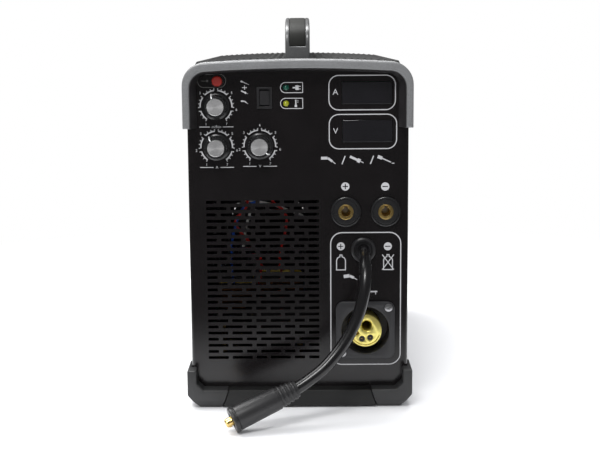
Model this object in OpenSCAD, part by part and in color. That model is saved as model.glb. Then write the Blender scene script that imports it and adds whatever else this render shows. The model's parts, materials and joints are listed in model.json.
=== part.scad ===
// Three-process inverter welding machine with an internal wire feeder.
// +X is to the right of the control panel, the panel faces -Y, +Z is up.
// The origin is on the floor, under the middle of the machine.

/* [Case] */
// Width over the side panels
case_w = 222; // [220:1:224]
// Height of the crown of the roof above the floor
case_top = 351; // [350:1:352]
// Depth between the outer faces of the front and rear panels
case_d = 464; // [456:2:480]
// Radius of the shoulders between roof and sides
shoulder_r = 20; // [18:1:22]
// Radius of the crowned roof
crown_r = 1450; // [1300:50:1800]
// Thickness of the sheet steel
sheet = 1.5; // [1.2:0.1:1.5]

/* [Bumpers] */
// Reach of the bumpers in front of the panels
bumper_reach = 18; // [18:1:20]
// Lap of the bumpers over the case
bumper_lap = 18; // [14:1:18]
// Width over the top bumpers
bumper_w = 228; // [227:0.5:229]
// Width over the corner feet
foot_w = 229; // [229:0.5:230]
// Height of the lower ends of the top bumpers
bumper_low = 285; // [270:1:300]
// Height of the corner feet
foot_h = 39.5; // [38:0.5:41]

/* [Deck and handle] */
// Spacing of the ribs of the deck
rib_pitch = 6.8; // [6.6:0.1:6.9]
// Number of ribs
rib_count = 31; // [27:2:31]
// Height of a rib
rib_h = 1.6; // [1:0.2:2]
// Half of the length of the handle
handle_half = 199; // [195:1:199]
// Height of the handle above the roof
handle_rise = 44; // [40:1:48]
// Width of the handle
handle_w = 25; // [23:0.5:26]

/* [Vents] */
// Rows of slots in the front panel
vent_rows = 26; // [12:2:26]
// Spacing of the rows
vent_pitch = 6.44; // [6.4:0.02:6.5]
// Height of a slot
vent_h = 3; // [2:0.2:3.4]

/* [Sockets] */
// Radius of the plug bore of an output socket
socket_bore_r = 4.5; // [4.4:0.05:4.6]
// Radius of the liner bore of the torch socket
torch_bore_r = 5.1; // [5:0.05:5.2]

/* [Lead] */
// Diameter of the changeover lead
lead_d = 12; // [11:0.5:12]

/* [Hidden] */
$fn = 48;

cut = 1;                      // how far a cutting shape runs past the solid
case_x = case_w / 2;          // outer face of the side panels
front_y = -case_d / 2;        // outer face of the front panel
rear_y = case_d / 2;          // outer face of the rear panel
nose_y = front_y - bumper_reach;
rim_y = front_y + 8;          // back of the rim of the front panel
back_in = rear_y - sheet;     // inner face of the rear panel
in_x = case_x - sheet;        // inner face of the side panels
pan_z = 6;                    // underside of the base pan
floor_z = pan_z + sheet;      // inner floor of the case
panel_low = 8;                // lower edge of the front panel
skin = 3;                     // thickness of the front panel
roof_t = 2;                   // thickness of the roof
deck_gap = 0.1;               // free space between roof and deck
clear = 0.2;                  // free space round a part that is let into another

// ---------- 2D outlines ----------

function arc_points(cx, cz, r, a0, a1, n) =
  [for (i = [0 : n]) let (a = a0 + (a1 - a0) * i / n) [cx + r * cos(a), cz + r * sin(a)]];

function crown_drop(x) = crown_r - sqrt(crown_r * crown_r - x * x);

crown_steps = 24;
shoulder_steps = 10;

function shoulder_z(half, top, r) = top - crown_drop(half - r) - r;

// An arch with a crowned top and two round shoulders, closed along z = low.
function arch(half, top, r, low) = let (in = half - r, sz = shoulder_z(half, top, r)) concat(
  [[half, low]],
  arc_points(in, sz, r, 0, 90, shoulder_steps),
  [for (i = [1 : crown_steps - 1]) let (x = in * (1 - 2 * i / crown_steps)) [x, top - crown_drop(x)]],
  arc_points(-in, sz, r, 90, 180, shoulder_steps),
  [[-half, low]]);

// A superellipse on a flat base, for the outlines of the handle.
function bow(half, rise, power, n) =
  [for (i = [0 : n]) let (y = -half * cos(180 * i / n))
    [y, rise * pow(1 - pow(min(1, abs(y) / half), power), 1 / power)]];

module round_box(w, h, r) {
  hull()
    for (sx = [-1, 1], sz = [-1, 1]) translate([sx * (w / 2 - r), sz * (h / 2 - r)]) circle(r);
}

// The same outline without a hull, for solids that keep their true curves.
module true_round_box(w, h, r) {
  square([w, h - 2 * r], center = true);
  square([w - 2 * r, h], center = true);
  for (sx = [-1, 1], sz = [-1, 1]) translate([sx * (w / 2 - r), sz * (h / 2 - r)]) circle(r);
}

// ---------- placing ----------

// A flat shape in X and Z, from y0 to y1.
module along_y(y0, y1) {
  translate([0, y1, 0]) rotate([90, 0, 0]) linear_extrude(y1 - y0) children();
}

// A flat shape in Y and Z, from x0 to x1.
module along_x(x0, x1) {
  translate([x0, 0, 0]) rotate([90, 0, 90]) linear_extrude(x1 - x0) children();
}

module rod_y(r, y0, y1) {
  translate([0, y0, 0]) rotate([-90, 0, 0]) cylinder(r = r, h = y1 - y0);
}

module cone_y(r0, r1, y0, y1) {
  translate([0, y0, 0]) rotate([-90, 0, 0]) cylinder(r1 = r0, r2 = r1, h = y1 - y0);
}

module rod_x(r, x0, x1) {
  translate([x0, 0, 0]) rotate([0, 90, 0]) cylinder(r = r, h = x1 - x0);
}

module block(lo, hi) {
  translate(lo) cube(hi - lo);
}

module both_ends() {
  children();
  mirror([0, 1, 0]) children();
}

// ---------- places of the controls on the front panel: [x, z] ----------

wire_speed_at = [-81.6, 306.4];
arc_current_at = [-81.6, 265.8];
voltage_at = [-38.4, 266.6];
knob_places = [wire_speed_at, arc_current_at, voltage_at];
inch_at = [-80.2, 331.4];
mode_at = [-33.3, 314.5];
power_lamp_at = [-11.7, 324.4];
thermal_lamp_at = [-11.7, 308.8];
amp_window_at = [69, 318.8];
volt_window_at = [69.4, 280.8];
window_w = 50;
window_h = 22;
socket_places = [[47.6, 199.6], [87.9, 199.6]];
gland_at = [65.3, 160.6];
torch_at = [67.3, 77.3];
torch_bore_at = [68.6, 82.1];
vent_left = -93.3;
vent_low = 48.9;

// Places behind the rear panel: [x, z]
fan_at = [-42, 112];
mains_switch_at = [-78, 262];
mains_gland_at = [-30, 262];
gas_at = [78, 62];

socket_r = 15.3;
socket_body_r = 12.9;
contact_r = 7.7;
torch_size = 60;
torch_cup_r = 24.3;
torch_barrel_r = 26;
torch_core_r = 16.6;
torch_screw_off = 23.6;       // the flange's two screws, along both axes from its middle
torch_pins = [[-3.5, -8.4], [4.9, -7.1]];  // control pins, from the middle of the core
torch_pin_r = 3;
gas_port = [-8.8, -2.6];
gas_port_r = 2.4;
gland_r = 12.8;
gland_seat_r = 9;

// ---------- case ----------

side_screw_y = [-150, -50, 50, 150];
side_screw_z = 20;
rear_screw_x = [-85, 0, 85];
rear_screw_z = 24.5;
screw_hole_r = 1.7;
screw_shank_r = 1.5;
pan_flange_x = in_x - 0.1;
pan_front_y = rim_y + 0.2;
pan_back_y = back_in - 0.2;
pan_flange_z = 29;
striker_y = 5;
striker_z = 46;
striker_x = 100;
latch_r = 4;

module side_screw_holes(r) {
  for (y = side_screw_y, sx = [-1, 1])
    translate([sx * case_x, y, side_screw_z]) rod_x(r, -5, 5);
}

module rear_screw_holes(r) {
  for (x = rear_screw_x) translate([x, 0, rear_screw_z]) rod_y(r, rear_y - 6, rear_y + 3);
}

module base_pan() {
  color("dimgray") difference() {
    union() {
      block([-pan_flange_x, pan_front_y, pan_z], [pan_flange_x, pan_back_y, floor_z]);
      for (sx = [-1, 1]) mirror([sx < 0 ? 1 : 0, 0, 0])
        block([pan_flange_x - sheet, pan_front_y, pan_z], [pan_flange_x, pan_back_y, pan_flange_z]);
      block([-pan_flange_x, pan_front_y, pan_z], [pan_flange_x, pan_front_y + sheet, pan_flange_z]);
      block([-pan_flange_x, pan_back_y - sheet, pan_z], [pan_flange_x, pan_back_y, pan_flange_z]);
      block([striker_x, striker_y - 14, pan_z], [striker_x + sheet, striker_y + 14, striker_z + 10]);
    }
    translate([0, striker_y, striker_z]) rod_x(latch_r + 0.8, striker_x - cut, striker_x + sheet + cut);
    side_screw_holes(screw_hole_r);
    rear_screw_holes(screw_hole_r);
  }
}

partition_x = 24;
board_z = 254;

module centre_partition() {
  color("dimgray") difference() {
    along_x(partition_x, partition_x + sheet) polygon([
      [rim_y + 2, floor_z], [back_in - 2, floor_z], [back_in - 2, case_top - 12],
      [rim_y + 22, case_top - 12], [rim_y + 22, board_z - 6], [rim_y + 2, board_z - 6]]);
    translate([0, feed_y, drive_z]) rod_x(motor_neck_r + clear, partition_x - cut, partition_x + 3);
  }
}

// Slots of one row, as [start, length], in slot units.
slot_long = 20.3;
slot_short = 10.4;
slot_gap = 4.3;
row_a = [slot_long, slot_long, slot_short, slot_long, slot_short, slot_short];
row_b = [slot_short, slot_long, slot_short, slot_long, slot_short, slot_long];

function slot_start(row, i) = i == 0 ? 0 : slot_start(row, i - 1) + row[i - 1] + slot_gap;

module vent_slots() {
  for (k = [0 : vent_rows - 1]) let (row = k % 2 == 0 ? row_a : row_b)
    for (i = [0 : len(row) - 1])
      translate([vent_left + slot_start(row, i), vent_low - vent_h / 2 + k * vent_pitch])
        square([row[i], vent_h]);
}

edge_r = 5;                   // rounding of the upright edges of the front panel

module panel_blank() {
  intersection() {
    along_y(front_y, rim_y) polygon(arch(case_x, case_top, shoulder_r, panel_low));
    translate([0, 0, panel_low - cut]) linear_extrude(case_top) {
      translate([-case_x, front_y + edge_r]) square([case_w, 8 - edge_r]);
      translate([-case_x + edge_r, front_y]) square([case_w - 2 * edge_r, edge_r + 1]);
      for (sx = [-1, 1]) translate([sx * (case_x - edge_r), front_y + edge_r]) circle(edge_r);
    }
  }
}

module at(place) {
  translate([place[0], 0, place[1]]) children();
}

module front_panel() {
  wall = 2.5;
  color("black") difference() {
    panel_blank();
    along_y(front_y + skin, rim_y + cut)
      polygon(arch(case_x - wall, case_top - wall, shoulder_r - wall, panel_low + wall));
    along_y(front_y - cut, rim_y) vent_slots();
    for (p = knob_places) at(p) rod_y(4.7, front_y - cut, rim_y);
    at(inch_at) rod_y(6.4, front_y - cut, rim_y);
    at(power_lamp_at) rod_y(3.2, front_y - cut, rim_y);
    at(thermal_lamp_at) rod_y(3.2, front_y - cut, rim_y);
    at(mode_at) block([-mode_body[0] - clear, front_y - cut, -mode_body[1] - clear],
                      [mode_body[0] + clear, rim_y, mode_body[1] + clear]);
    for (p = [amp_window_at, volt_window_at]) at(p)
      block([-window_w / 2 - clear, front_y - cut, -window_h / 2 - clear],
            [window_w / 2 + clear, rim_y, window_h / 2 + clear]);
    for (p = socket_places) at(p) rod_y(socket_body_r + clear, front_y - cut, rim_y);
    at(gland_at) rod_y(gland_seat_r + clear, front_y - cut, rim_y);
    at(torch_at) rod_y(torch_barrel_r + clear, front_y - cut, rim_y);
    for (p = torch_screws) at(p) rod_y(screw_hole_r, front_y - cut, rim_y);
  }
}

fan_r = 57;

module fan_grille() {
  for (k = [-8 : 8]) let (z = k * 6.6, half = sqrt(fan_r * fan_r - z * z) - 3)
    for (sx = [-1, 1]) translate([sx > 0 ? 3 : -3 - half + 3, z - 1.7]) square([half - 3, 3.4]);
}

module rear_panel() {
  color("black") difference() {
    along_y(back_in, rear_y) polygon(arch(case_x, case_top, shoulder_r, panel_low));
    at(fan_at) along_y(back_in - cut, rear_y + cut) fan_grille();
    at(mains_switch_at) block([-mains_body[0] - clear, back_in - cut, -mains_body[1] - clear],
                              [mains_body[0] + clear, rear_y + cut, mains_body[1] + clear]);
    at(mains_gland_at) rod_y(8.2, back_in - cut, rear_y + cut);
    at(gas_at) rod_y(6.7, back_in - cut, rear_y + cut);
    rear_screw_holes(screw_hole_r);
    for (k = [0 : 9]) translate([62, 0, 180 + k * 8])
      block([-18, back_in - cut, -1.5], [18, rear_y + cut, 1.5]);
  }
}

side_top = shoulder_z(case_x, case_top, shoulder_r);

louvre_len = 50;
louvre_h = 3;
louvre_pitch = 9;
left_louvres = [-170, -110, 90, 150];      // where the columns start along Y
door_louvres = [-150, 100];

module louvre_slots(columns, low, rows) {
  for (y = columns, k = [0 : rows - 1])
    translate([y, low + k * louvre_pitch]) square([louvre_len, louvre_h]);
}

module left_side_panel() {
  color("black") difference() {
    block([-case_x, rim_y, pan_z], [-in_x, back_in, side_top]);
    along_x(-case_x - cut, -in_x + cut) louvre_slots(left_louvres, 70, 14);
    side_screw_holes(screw_hole_r);
  }
}

door_y0 = -190;
door_y1 = 200;
door_z0 = 34;
door_z1 = 317.5;

module door_frame() {
  color("black") difference() {
    block([in_x, rim_y, pan_z], [case_x, back_in, side_top]);
    block([in_x - cut, door_y0, door_z0], [case_x + cut, door_y1, door_z1]);
    side_screw_holes(screw_hole_r);
  }
}

module roof_bolt_holes(z0, z1) {
  for (sy = [-1, 1], dy = [-7, 7])
    translate([0, sy * handle_post_y + dy, z0]) cylinder(r = 2.7, h = z1 - z0);
}

module roof_panel() {
  color("black") difference() {
    along_y(rim_y, back_in) polygon(arch(case_x, case_top, shoulder_r, side_top));
    along_y(rim_y - cut, back_in + cut)
      polygon(arch(case_x - roof_t, case_top - roof_t, shoulder_r - roof_t, side_top - cut));
    roof_bolt_holes(case_top - 10, case_top + cut);
  }
}

// ---------- deck ----------

deck_y = -front_y - bumper_lap - 0.5;
rib_steps = 8;
deck_half = (rib_count - 1) / 2 * rib_pitch;
deck_base = case_top + deck_gap;
deck_valley = case_top + 1.4;

function rib(x) = rib_h * (1 + cos(360 * x / rib_pitch)) / 2;

module deck_section() {
  n = (rib_count - 1) * rib_steps;
  polygon(concat(
    [for (i = [0 : n]) let (x = -deck_half + i * rib_pitch / rib_steps)
      [x, deck_valley - crown_drop(x) + rib(x)]],
    [for (i = [0 : crown_steps]) let (x = (deck_half + 1.2) * (1 - 2 * i / crown_steps))
      [x, deck_base - crown_drop(x)]]));
}

module ribbed_deck() {
  slope = 5;
  color("black") difference() {
    along_y(-deck_y, deck_y) intersection() {
      deck_section();
      polygon(arch(case_x + 1, case_top + 9, 30, case_top - 15));
    }
    both_ends() along_x(-case_x, case_x)
      polygon([[-deck_y - cut, case_top - 10], [-deck_y - cut, case_top + 9],
               [-deck_y + slope + 4, case_top + 9], [-deck_y, case_top - 10 + 5]]);
    for (sy = [-1, 1]) translate([0, sy * handle_post_y, case_top])
      cube([handle_w + 2 * clear, handle_post + 2 * clear, 12], center = true);
  }
}

// ---------- door ----------

hinge_x = case_x + 1.75;
hinge_z = 319;
knuckle_r = 1.7;
hinge_pin_r = 0.8;
hinge_len = 50;
hinge_starts = [-150, 110];
leaf_t = 1.2;
door_gap = 1;
door_flange = 10;
door_flange_t = 1.2;

// A knuckle from a to b along Y, with its leaf going up (1) or down (-1).
module knuckle(a, b, way) {
  difference() {
    union() {
      translate([hinge_x, 0, hinge_z]) rod_y(knuckle_r, a, b);
      block([case_x, a, way > 0 ? hinge_z : hinge_z - 11], [case_x + leaf_t, b, way > 0 ? hinge_z + 8 : hinge_z]);
    }
    translate([hinge_x, 0, hinge_z]) rod_y(hinge_pin_r + 0.05, a - cut, b + cut);
  }
}

module side_door() {
  y0 = door_y0 + door_gap;
  y1 = door_y1 - door_gap;
  z0 = door_z0 + door_gap;
  z1 = door_z1 - door_gap;
  color("black") difference() {
    union() {
      block([in_x, y0, z0], [case_x, y1, z1]);
      block([in_x - door_flange, y0, z0], [in_x, y0 + door_flange_t, z1 - 14]);
      block([in_x - door_flange, y1 - door_flange_t, z0], [in_x, y1, z1 - 14]);
      for (y = hinge_starts) knuckle(y + 15.3, y + 34.7, -1);
    }
    along_x(in_x - cut, case_x + cut) louvre_slots(door_louvres, 110, 10);
    translate([0, striker_y, striker_z]) rod_x(latch_r + 0.08, in_x - cut, case_x + cut);
  }
}

module hinge_leaves() {
  color("silver") for (y = hinge_starts) {
    knuckle(y, y + 15, 1);
    knuckle(y + 35, y + hinge_len, 1);
  }
}

module hinge_pins() {
  color("silver") for (y = hinge_starts)
    translate([hinge_x, 0, hinge_z]) rod_y(hinge_pin_r, y, y + hinge_len);
}

module door_knob() {
  color("dimgray") translate([0, striker_y, striker_z]) {
    rod_x(11, case_x + 0.1, case_x + 1.6);
    along_x(case_x + 1.5, case_x + 3.4) true_round_box(20, 5, 2.4);
    rod_x(latch_r, striker_x - 4, case_x + 1.5);
  }
}

// ---------- handle ----------

handle_post = 27;
handle_post_y = handle_half - handle_post / 2;
handle_base = case_top + deck_gap;
grip_w = 16;
grip_t = 4;
grip_low = 14;                // lower end of the grip above the roof
bow_power = 5;
bow_steps = 60;

module handle_side(inset) {
  translate([0, handle_base]) polygon(bow(handle_half - inset, handle_rise - inset, bow_power, bow_steps));
}

module grip_side() {
  difference() {
    handle_side(0);
    handle_side(grip_t);
    translate([-handle_half - cut, handle_base - cut]) square([2 * handle_half + 2, grip_low + cut]);
  }
}

module handle_frame() {
  under = handle_rise - 14;
  color("silver") difference() {
    along_x(-handle_w / 2, handle_w / 2) difference() {
      handle_side(0);
      translate([0, handle_base])
        polygon(concat([[-handle_half + handle_post, -cut]],
                       bow(handle_half - handle_post, under, bow_power, bow_steps),
                       [[handle_half - handle_post, -cut]]));
    }
    along_x(-grip_w / 2, grip_w / 2) grip_side();
    roof_bolt_holes(case_top - 1, case_top + 15);
  }
}

module handle_grip() {
  color("black") along_x(-grip_w / 2, grip_w / 2) grip_side();
}

// ---------- bumpers and feet ----------

bumper_x = bumper_w / 2;
bumper_top = case_top + 2;
lip_x = bumper_x - 7.5;
lip_top = bumper_top - 9.5;
lip_r = 16;

module top_bumper() {
  difference() {
    along_y(nose_y, front_y + bumper_lap)
      polygon(arch(bumper_x, bumper_top, shoulder_r + 3, bumper_low));
    along_y(front_y, front_y + bumper_lap + cut)
      polygon(arch(case_x, case_top, shoulder_r, bumper_low - cut));
    along_y(nose_y - cut, front_y + cut) polygon(arch(lip_x, lip_top, lip_r, bumper_low - cut));
  }
}

module front_top_bumper() {
  color("silver") top_bumper();
}

module rear_top_bumper() {
  color("silver") mirror([0, 1, 0]) top_bumper();
}

liner_in = 6;                 // how far the liner closes in at the sides, towards the panel
liner_down = 2.5;             // how far it comes down at the top

module liner() {
  difference() {
    along_y(nose_y + 0.5, front_y) polygon(arch(lip_x, lip_top, lip_r, bumper_low));
    hull() {
      along_y(nose_y - 0.1, nose_y) polygon(arch(lip_x - 0.3, lip_top - 0.3, lip_r, bumper_low - cut));
      along_y(front_y, front_y + 0.1)
        polygon(arch(lip_x - liner_in, lip_top - liner_down, lip_r - 5, bumper_low - cut));
    }
  }
}

module bumper_liners() {
  color("dimgray") both_ends() liner();
}

foot_x = foot_w / 2;
foot_back = 55;               // length of a foot along the side
foot_in_top = 72.6;           // inner end of a foot at its top
foot_in_low = 79;             // inner end of a foot at the floor

module foot() {
  difference() {
    intersection() {
      along_y(nose_y, nose_y + foot_back)
        polygon([[foot_x, 13.6], [foot_x, foot_h], [105, foot_h], [105, 26], [98, 19],
                 [foot_in_top, 19], [foot_in_low, 0], [102.5, 0]]);
      along_x(0, foot_x + cut)
        polygon([[nose_y, 7], [nose_y, foot_h + cut], [nose_y + foot_back - 12, foot_h + cut],
                 [nose_y + foot_back, 20], [nose_y + foot_back, 0], [nose_y + 6, 0]]);
    }
    block([0, front_y, pan_z], [case_x, nose_y + foot_back + cut, foot_h + cut]);
  }
}

module corner_feet() {
  color("dimgray") both_ends() {
    foot();
    mirror([1, 0, 0]) foot();
  }
}

module base_strips() {
  low = 2;
  top = 18.5;
  lean = (foot_in_low - foot_in_top) / 19;
  end_top = foot_in_top + (19 - top) * lean - 0.3;
  end_low = foot_in_top + (19 - low) * lean - 0.3;
  color("dimgray") both_ends() along_y(nose_y + 1.5, front_y)
    polygon([[-end_top, top], [-end_low, low], [end_low, low], [end_top, top]]);
}

torch_screws = [for (s = [-1, 1]) torch_at + s * [torch_screw_off, torch_screw_off]];

// A screw along +X with its head at x = 0 and its shank behind it.
module screw_x(shank) {
  translate([-shank, 0, 0]) rotate([0, 90, 0]) cylinder(r = screw_shank_r, h = shank + 0.2);
  rotate([0, 90, 0]) cylinder(r1 = 3.6, r2 = 2.4, h = 1.6);
}

module screws() {
  color("silver") {
    for (y = side_screw_y) {
      translate([case_x, y, side_screw_z]) screw_x(5);
      translate([-case_x, y, side_screw_z]) mirror([1, 0, 0]) screw_x(5);
    }
    for (x = rear_screw_x) translate([x, rear_y, rear_screw_z]) rotate([0, 0, 90]) screw_x(5);
    for (p = torch_screws) at(p) translate([0, flange_y, 0]) rotate([0, 0, -90]) {
      translate([-8, 0, 0]) rotate([0, 90, 0]) cylinder(r = screw_shank_r, h = 8.2);
      rotate([0, 90, 0]) cylinder(r1 = 4.2, r2 = 3.4, h = 1.4);
    }
    for (sy = [-1, 1], dy = [-7, 7]) translate([0, sy * handle_post_y + dy, case_top - roof_t - 4])
      union() {
        cylinder(r = 4.6, h = 3.9);
        cylinder(r = 2.5, h = 18);
      }
  }
}

// ---------- controls ----------

knob_face = 16.2;             // height of a knob above the panel
knob_cap_r = 8.4;
spindle_r = 3;

module knob(p) {
  color("black") at(p) difference() {
    union() {
      cone_y(13.5, 13.5, front_y - 2.6, front_y - 0.4);
      cone_y(10.9, 11.5, front_y - knob_face, front_y - 2.4);
      rod_y(spindle_r, front_y - 14, front_y + 9);
    }
    rod_y(knob_cap_r + 0.05, front_y - knob_face - cut, front_y - knob_face + 0.6);
    difference() {
      rod_y(5.4, front_y - 3.5, front_y + cut);
      rod_y(spindle_r, front_y - 4, front_y + 2);
    }
  }
}

module knob_cap(p) {
  color("silver") at(p) rod_y(knob_cap_r, front_y - knob_face - 0.6, front_y - knob_face + 0.55);
}

module potentiometers() {
  color("silver") for (p = knob_places) at(p) difference() {
    union() {
      rod_y(8.5, front_y + skin + 0.1, board_front - 0.1);
      rod_y(4.5, front_y - 2.6, front_y + skin + 0.2);
    }
    rod_y(spindle_r + 0.06, front_y - 4, front_y + 10.5);
  }
}

board_front = front_y + 15;

board_half = 98;
board_top = 340;

module control_board() {
  color("darkgreen") {
    block([-board_half, board_front, board_z], [board_half, board_front + 1.6, board_top]);
    for (p = [amp_window_at, volt_window_at]) at(p)
      block([-23, front_y + skin + 1, -9.5], [23, board_front + 0.1, 9.5]);
    block([-60, board_front + 1.5, 262], [-20, board_front + 9, 268]);
    block([0, board_front + 1.5, 285], [22, board_front + 5, 307]);
  }
}

module meter_windows() {
  color("darkslategray") for (p = [amp_window_at, volt_window_at]) at(p)
    block([-window_w / 2, front_y - 0.8, -window_h / 2], [window_w / 2, front_y + 1.8, window_h / 2]);
}

rocker_axis = front_y - 0.5;

rocker_pin_r = 0.9;
rocker_pin_len = 1.1;         // reach of a rocker's pivot pins into its housing

module rocker(w, half, face) {
  along_x(-w / 2, w / 2) translate([rocker_axis, 0]) polygon([
    [-face - 1.6, half], [-face + 0.4, 0], [-face + 1.2, -half],
    [1.6, -half + 0.6], [4, 0], [0, half - 0.4]]);
  translate([0, rocker_axis, 0])
    rod_x(rocker_pin_r, -w / 2 - rocker_pin_len, w / 2 + rocker_pin_len);
}

module mode_rocker() {
  color("black") at(mode_at) rocker(9.4, 7.2, 2);
}

// Half width and half height of the bodies of the two rocker switches
mode_body = [6.2, 9.4];
mains_body = [10, 14];

// A rocker switch's housing: bezel, body, and the well that the rocker tilts in.
module rocker_housing(body, rocker_half, lip, depth) {
  difference() {
    union() {
      block([-body[0] - 1.4, front_y - lip, -body[1] - 1.4], [body[0] + 1.4, front_y, body[1] + 1.4]);
      block([-body[0], front_y - cut, -body[1]], [body[0], front_y + depth, body[1]]);
    }
    block([-rocker_half[0], front_y - lip - cut, -rocker_half[1]],
          [rocker_half[0], front_y + depth / 2, rocker_half[1]]);
    translate([0, rocker_axis, 0])
      rod_x(rocker_pin_r + 0.05, -rocker_half[0] - rocker_pin_len, rocker_half[0] + rocker_pin_len);
  }
}

button_r = 5.2;

module inch_button() {
  color("red") at(inch_at) union() {
    rod_y(button_r, front_y - 4.6, front_y + 5);
    cone_y(button_r - 1, button_r, front_y - 5.4, front_y - 4.6);
  }
}

module inch_body() {
  difference() {
    union() {
      rod_y(6.6, front_y - 1.8, front_y);
      rod_y(6.2, front_y - 0.1, front_y + 13);
    }
    rod_y(button_r + 0.1, front_y - 3, front_y + 8);
  }
}

module switch_bodies() {
  color("black") {
    at(mode_at) rocker_housing(mode_body, [5, 8.4], 1.6, 13);
    at(inch_at) inch_body();
    at(mains_switch_at) mirror([0, 1, 0]) rocker_housing(mains_body, [8.5, 12.6], 2, 22);
  }
}

module lamp(p) {
  at(p) {
    rod_y(3, front_y - 0.6, front_y + 5);
    intersection() {
      translate([0, front_y - 0.6, 0]) sphere(r = 3);
      rod_y(4, front_y - 4, front_y);
    }
  }
}

module power_lamp() {
  color("green") lamp(power_lamp_at);
}

module thermal_lamp() {
  color("yellow") lamp(thermal_lamp_at);
}

// ---------- sockets ----------

socket_face = front_y - 4.6;

module socket_insulators() {
  color("black") for (p = socket_places) at(p) difference() {
    union() {
      cone_y(socket_r - 1.2, socket_r, socket_face, front_y - 3.2);
      rod_y(socket_r, front_y - 3.2, front_y);
      rod_y(socket_body_r, front_y - cut, front_y + 26);
    }
    rod_y(contact_r + 0.05, socket_face - cut, front_y + 26 + cut);
  }
}

module socket_contacts() {
  color("gold") for (p = socket_places) at(p) difference() {
    union() {
      rod_y(contact_r, socket_face, front_y + 30);
      rod_y(5, front_y + 29, front_y + 44);
    }
    rod_y(socket_bore_r, socket_face - cut, socket_face + 21);
    block([-1.6, socket_face - cut, 0], [1.6, socket_face + 11, 6.6]);
  }
}

flange_y = front_y - 4;
torch_face = front_y - 5;
torch_back = front_y + 70;

module torch_socket_flange() {
  color("black") at(torch_at) difference() {
    union() {
      along_y(flange_y, front_y) true_round_box(torch_size, torch_size, 8);
      rod_y(torch_barrel_r, front_y - cut, front_y + 26);
    }
    rod_y(torch_cup_r, flange_y - cut, front_y + 20);
    rod_y(torch_core_r + 0.05, flange_y - cut, front_y + 26 + cut);
    for (s = [-1, 1]) translate([s * torch_screw_off, 0, s * torch_screw_off])
      rod_y(screw_hole_r, flange_y - cut, front_y + cut);
  }
}

module torch_socket_core() {
  dx = torch_bore_at[0] - torch_at[0];
  dz = torch_bore_at[1] - torch_at[1];
  color("gold") at(torch_at) difference() {
    rod_y(torch_core_r, torch_face, torch_back);
    translate([dx, 0, dz]) rod_y(torch_bore_r, torch_face - cut, torch_back + cut);
    translate([dx, 0, dz]) cone_y(6.6, torch_bore_r, torch_face - 0.01, torch_face + 1.5);
    for (p = torch_pins) at(p) rod_y(torch_pin_r, torch_face - cut, torch_face + 9);
    at(gas_port) rod_y(gas_port_r, torch_face - cut, torch_face + 12);
  }
}

// ---------- changeover lead ----------

gland_seat_y = front_y - 2;

module lead_gland() {
  color("black") at(gland_at) union() {
    difference() {
      union() {
        cone_y(gland_r - 1.4, gland_r, front_y - 5, front_y - 3);
        rod_y(gland_r, front_y - 3, front_y);
      }
      rod_y(gland_seat_r - 0.5, front_y - 6, front_y + cut);
    }
    rod_y(gland_seat_r, gland_seat_y, front_y + 18);
  }
}

// Centre line of the lead, from the gland to the boot of the plug.
lead_route = [
  [65.3, -234, 160.6], [65.3, -238, 160.6], [65.4, -249, 159.2], [65.6, -259, 155],
  [65.6, -267.7, 148.3], [65.3, -274.4, 139.6], [64.2, -278.8, 129.5], [62, -281, 118.5],
  [59, -282.5, 107.5], [54, -285, 95.5], [46.5, -289, 82], [36.5, -294, 68.5],
  [23.5, -300, 55.3], [9.5, -305, 45.3], [-2, -309, 38.5], [-7, -311, 36.2]];
lead_sides = 10;

function unit(v) = v / norm(v);
function tangent(path, i) =
  unit(path[min(i + 1, len(path) - 1)] - path[max(i - 1, 0)]);
// A smooth path through the route's points.
function spline_at(p, i, t) = let (a = p[max(i - 1, 0)], b = p[i], c = p[i + 1], d = p[min(i + 2, len(p) - 1)])
  0.5 * (2 * b + (c - a) * t + (2 * a - 5 * b + 4 * c - d) * t * t + (3 * b - a - 3 * c + d) * t * t * t);
function smooth_path(p, n) = concat(
  [for (i = [0 : len(p) - 2], k = [0 : n - 1]) spline_at(p, i, k / n)], [p[len(p) - 1]]);

// A round tube swept along a path: its sides stay level because every ring uses the X axis as its guide.
module tube_along(path, r, sides) {
  n = len(path);
  rings = [for (i = [0 : n - 1]) let (t = tangent(path, i), u = unit(cross(t, [0.8, -0.2, 0.6])), v = cross(t, u))
    for (k = [0 : sides - 1]) path[i] + r * (u * cos(360 * k / sides) + v * sin(360 * k / sides))];
  walls = [for (i = [0 : n - 2], k = [0 : sides - 1]) let (a = i * sides + k, b = i * sides + (k + 1) % sides)
    [a, b, b + sides, a + sides]];
  polyhedron(rings, concat(walls, [[for (k = [sides - 1 : -1 : 0]) k]],
    [[for (k = [0 : sides - 1]) (n - 1) * sides + k]]), convexity = 6);
}

module lead_cable() {
  color("black") tube_along(smooth_path(lead_route, 2), lead_d / 2, lead_sides);
}

plug_tail = [-2.5, -309.2, 38];
plug_rim = [-64.8, -329, 12.3];
plug_dir = unit(plug_rim - plug_tail);
plug_len = norm(plug_rim - plug_tail);

// Puts a shape that stands along +Z from the origin on the axis of the plug.
module on_plug() {
  translate(plug_tail) rotate([0, acos(plug_dir[2]), atan2(plug_dir[1], plug_dir[0])]) children();
}

module lead_plug_sleeve() {
  color("dimgray") on_plug() difference() {
    union() {
      translate([0, 0, 0.2]) cylinder(r1 = 8, r2 = 10, h = 21);
      for (k = [0 : 3]) translate([0, 0, 3 + k * 4.6]) cylinder(r = 9.3 + 0.45 * k, h = 2.6);
      translate([0, 0, 21]) cylinder(r1 = 11, r2 = 12, h = plug_len - 24);
      translate([0, 0, plug_len - 4]) cylinder(r = 12.8, h = 4);
    }
    translate([0, 0, plug_len - 14]) cylinder(r = 7.05, h = 20);
  }
}

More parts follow.
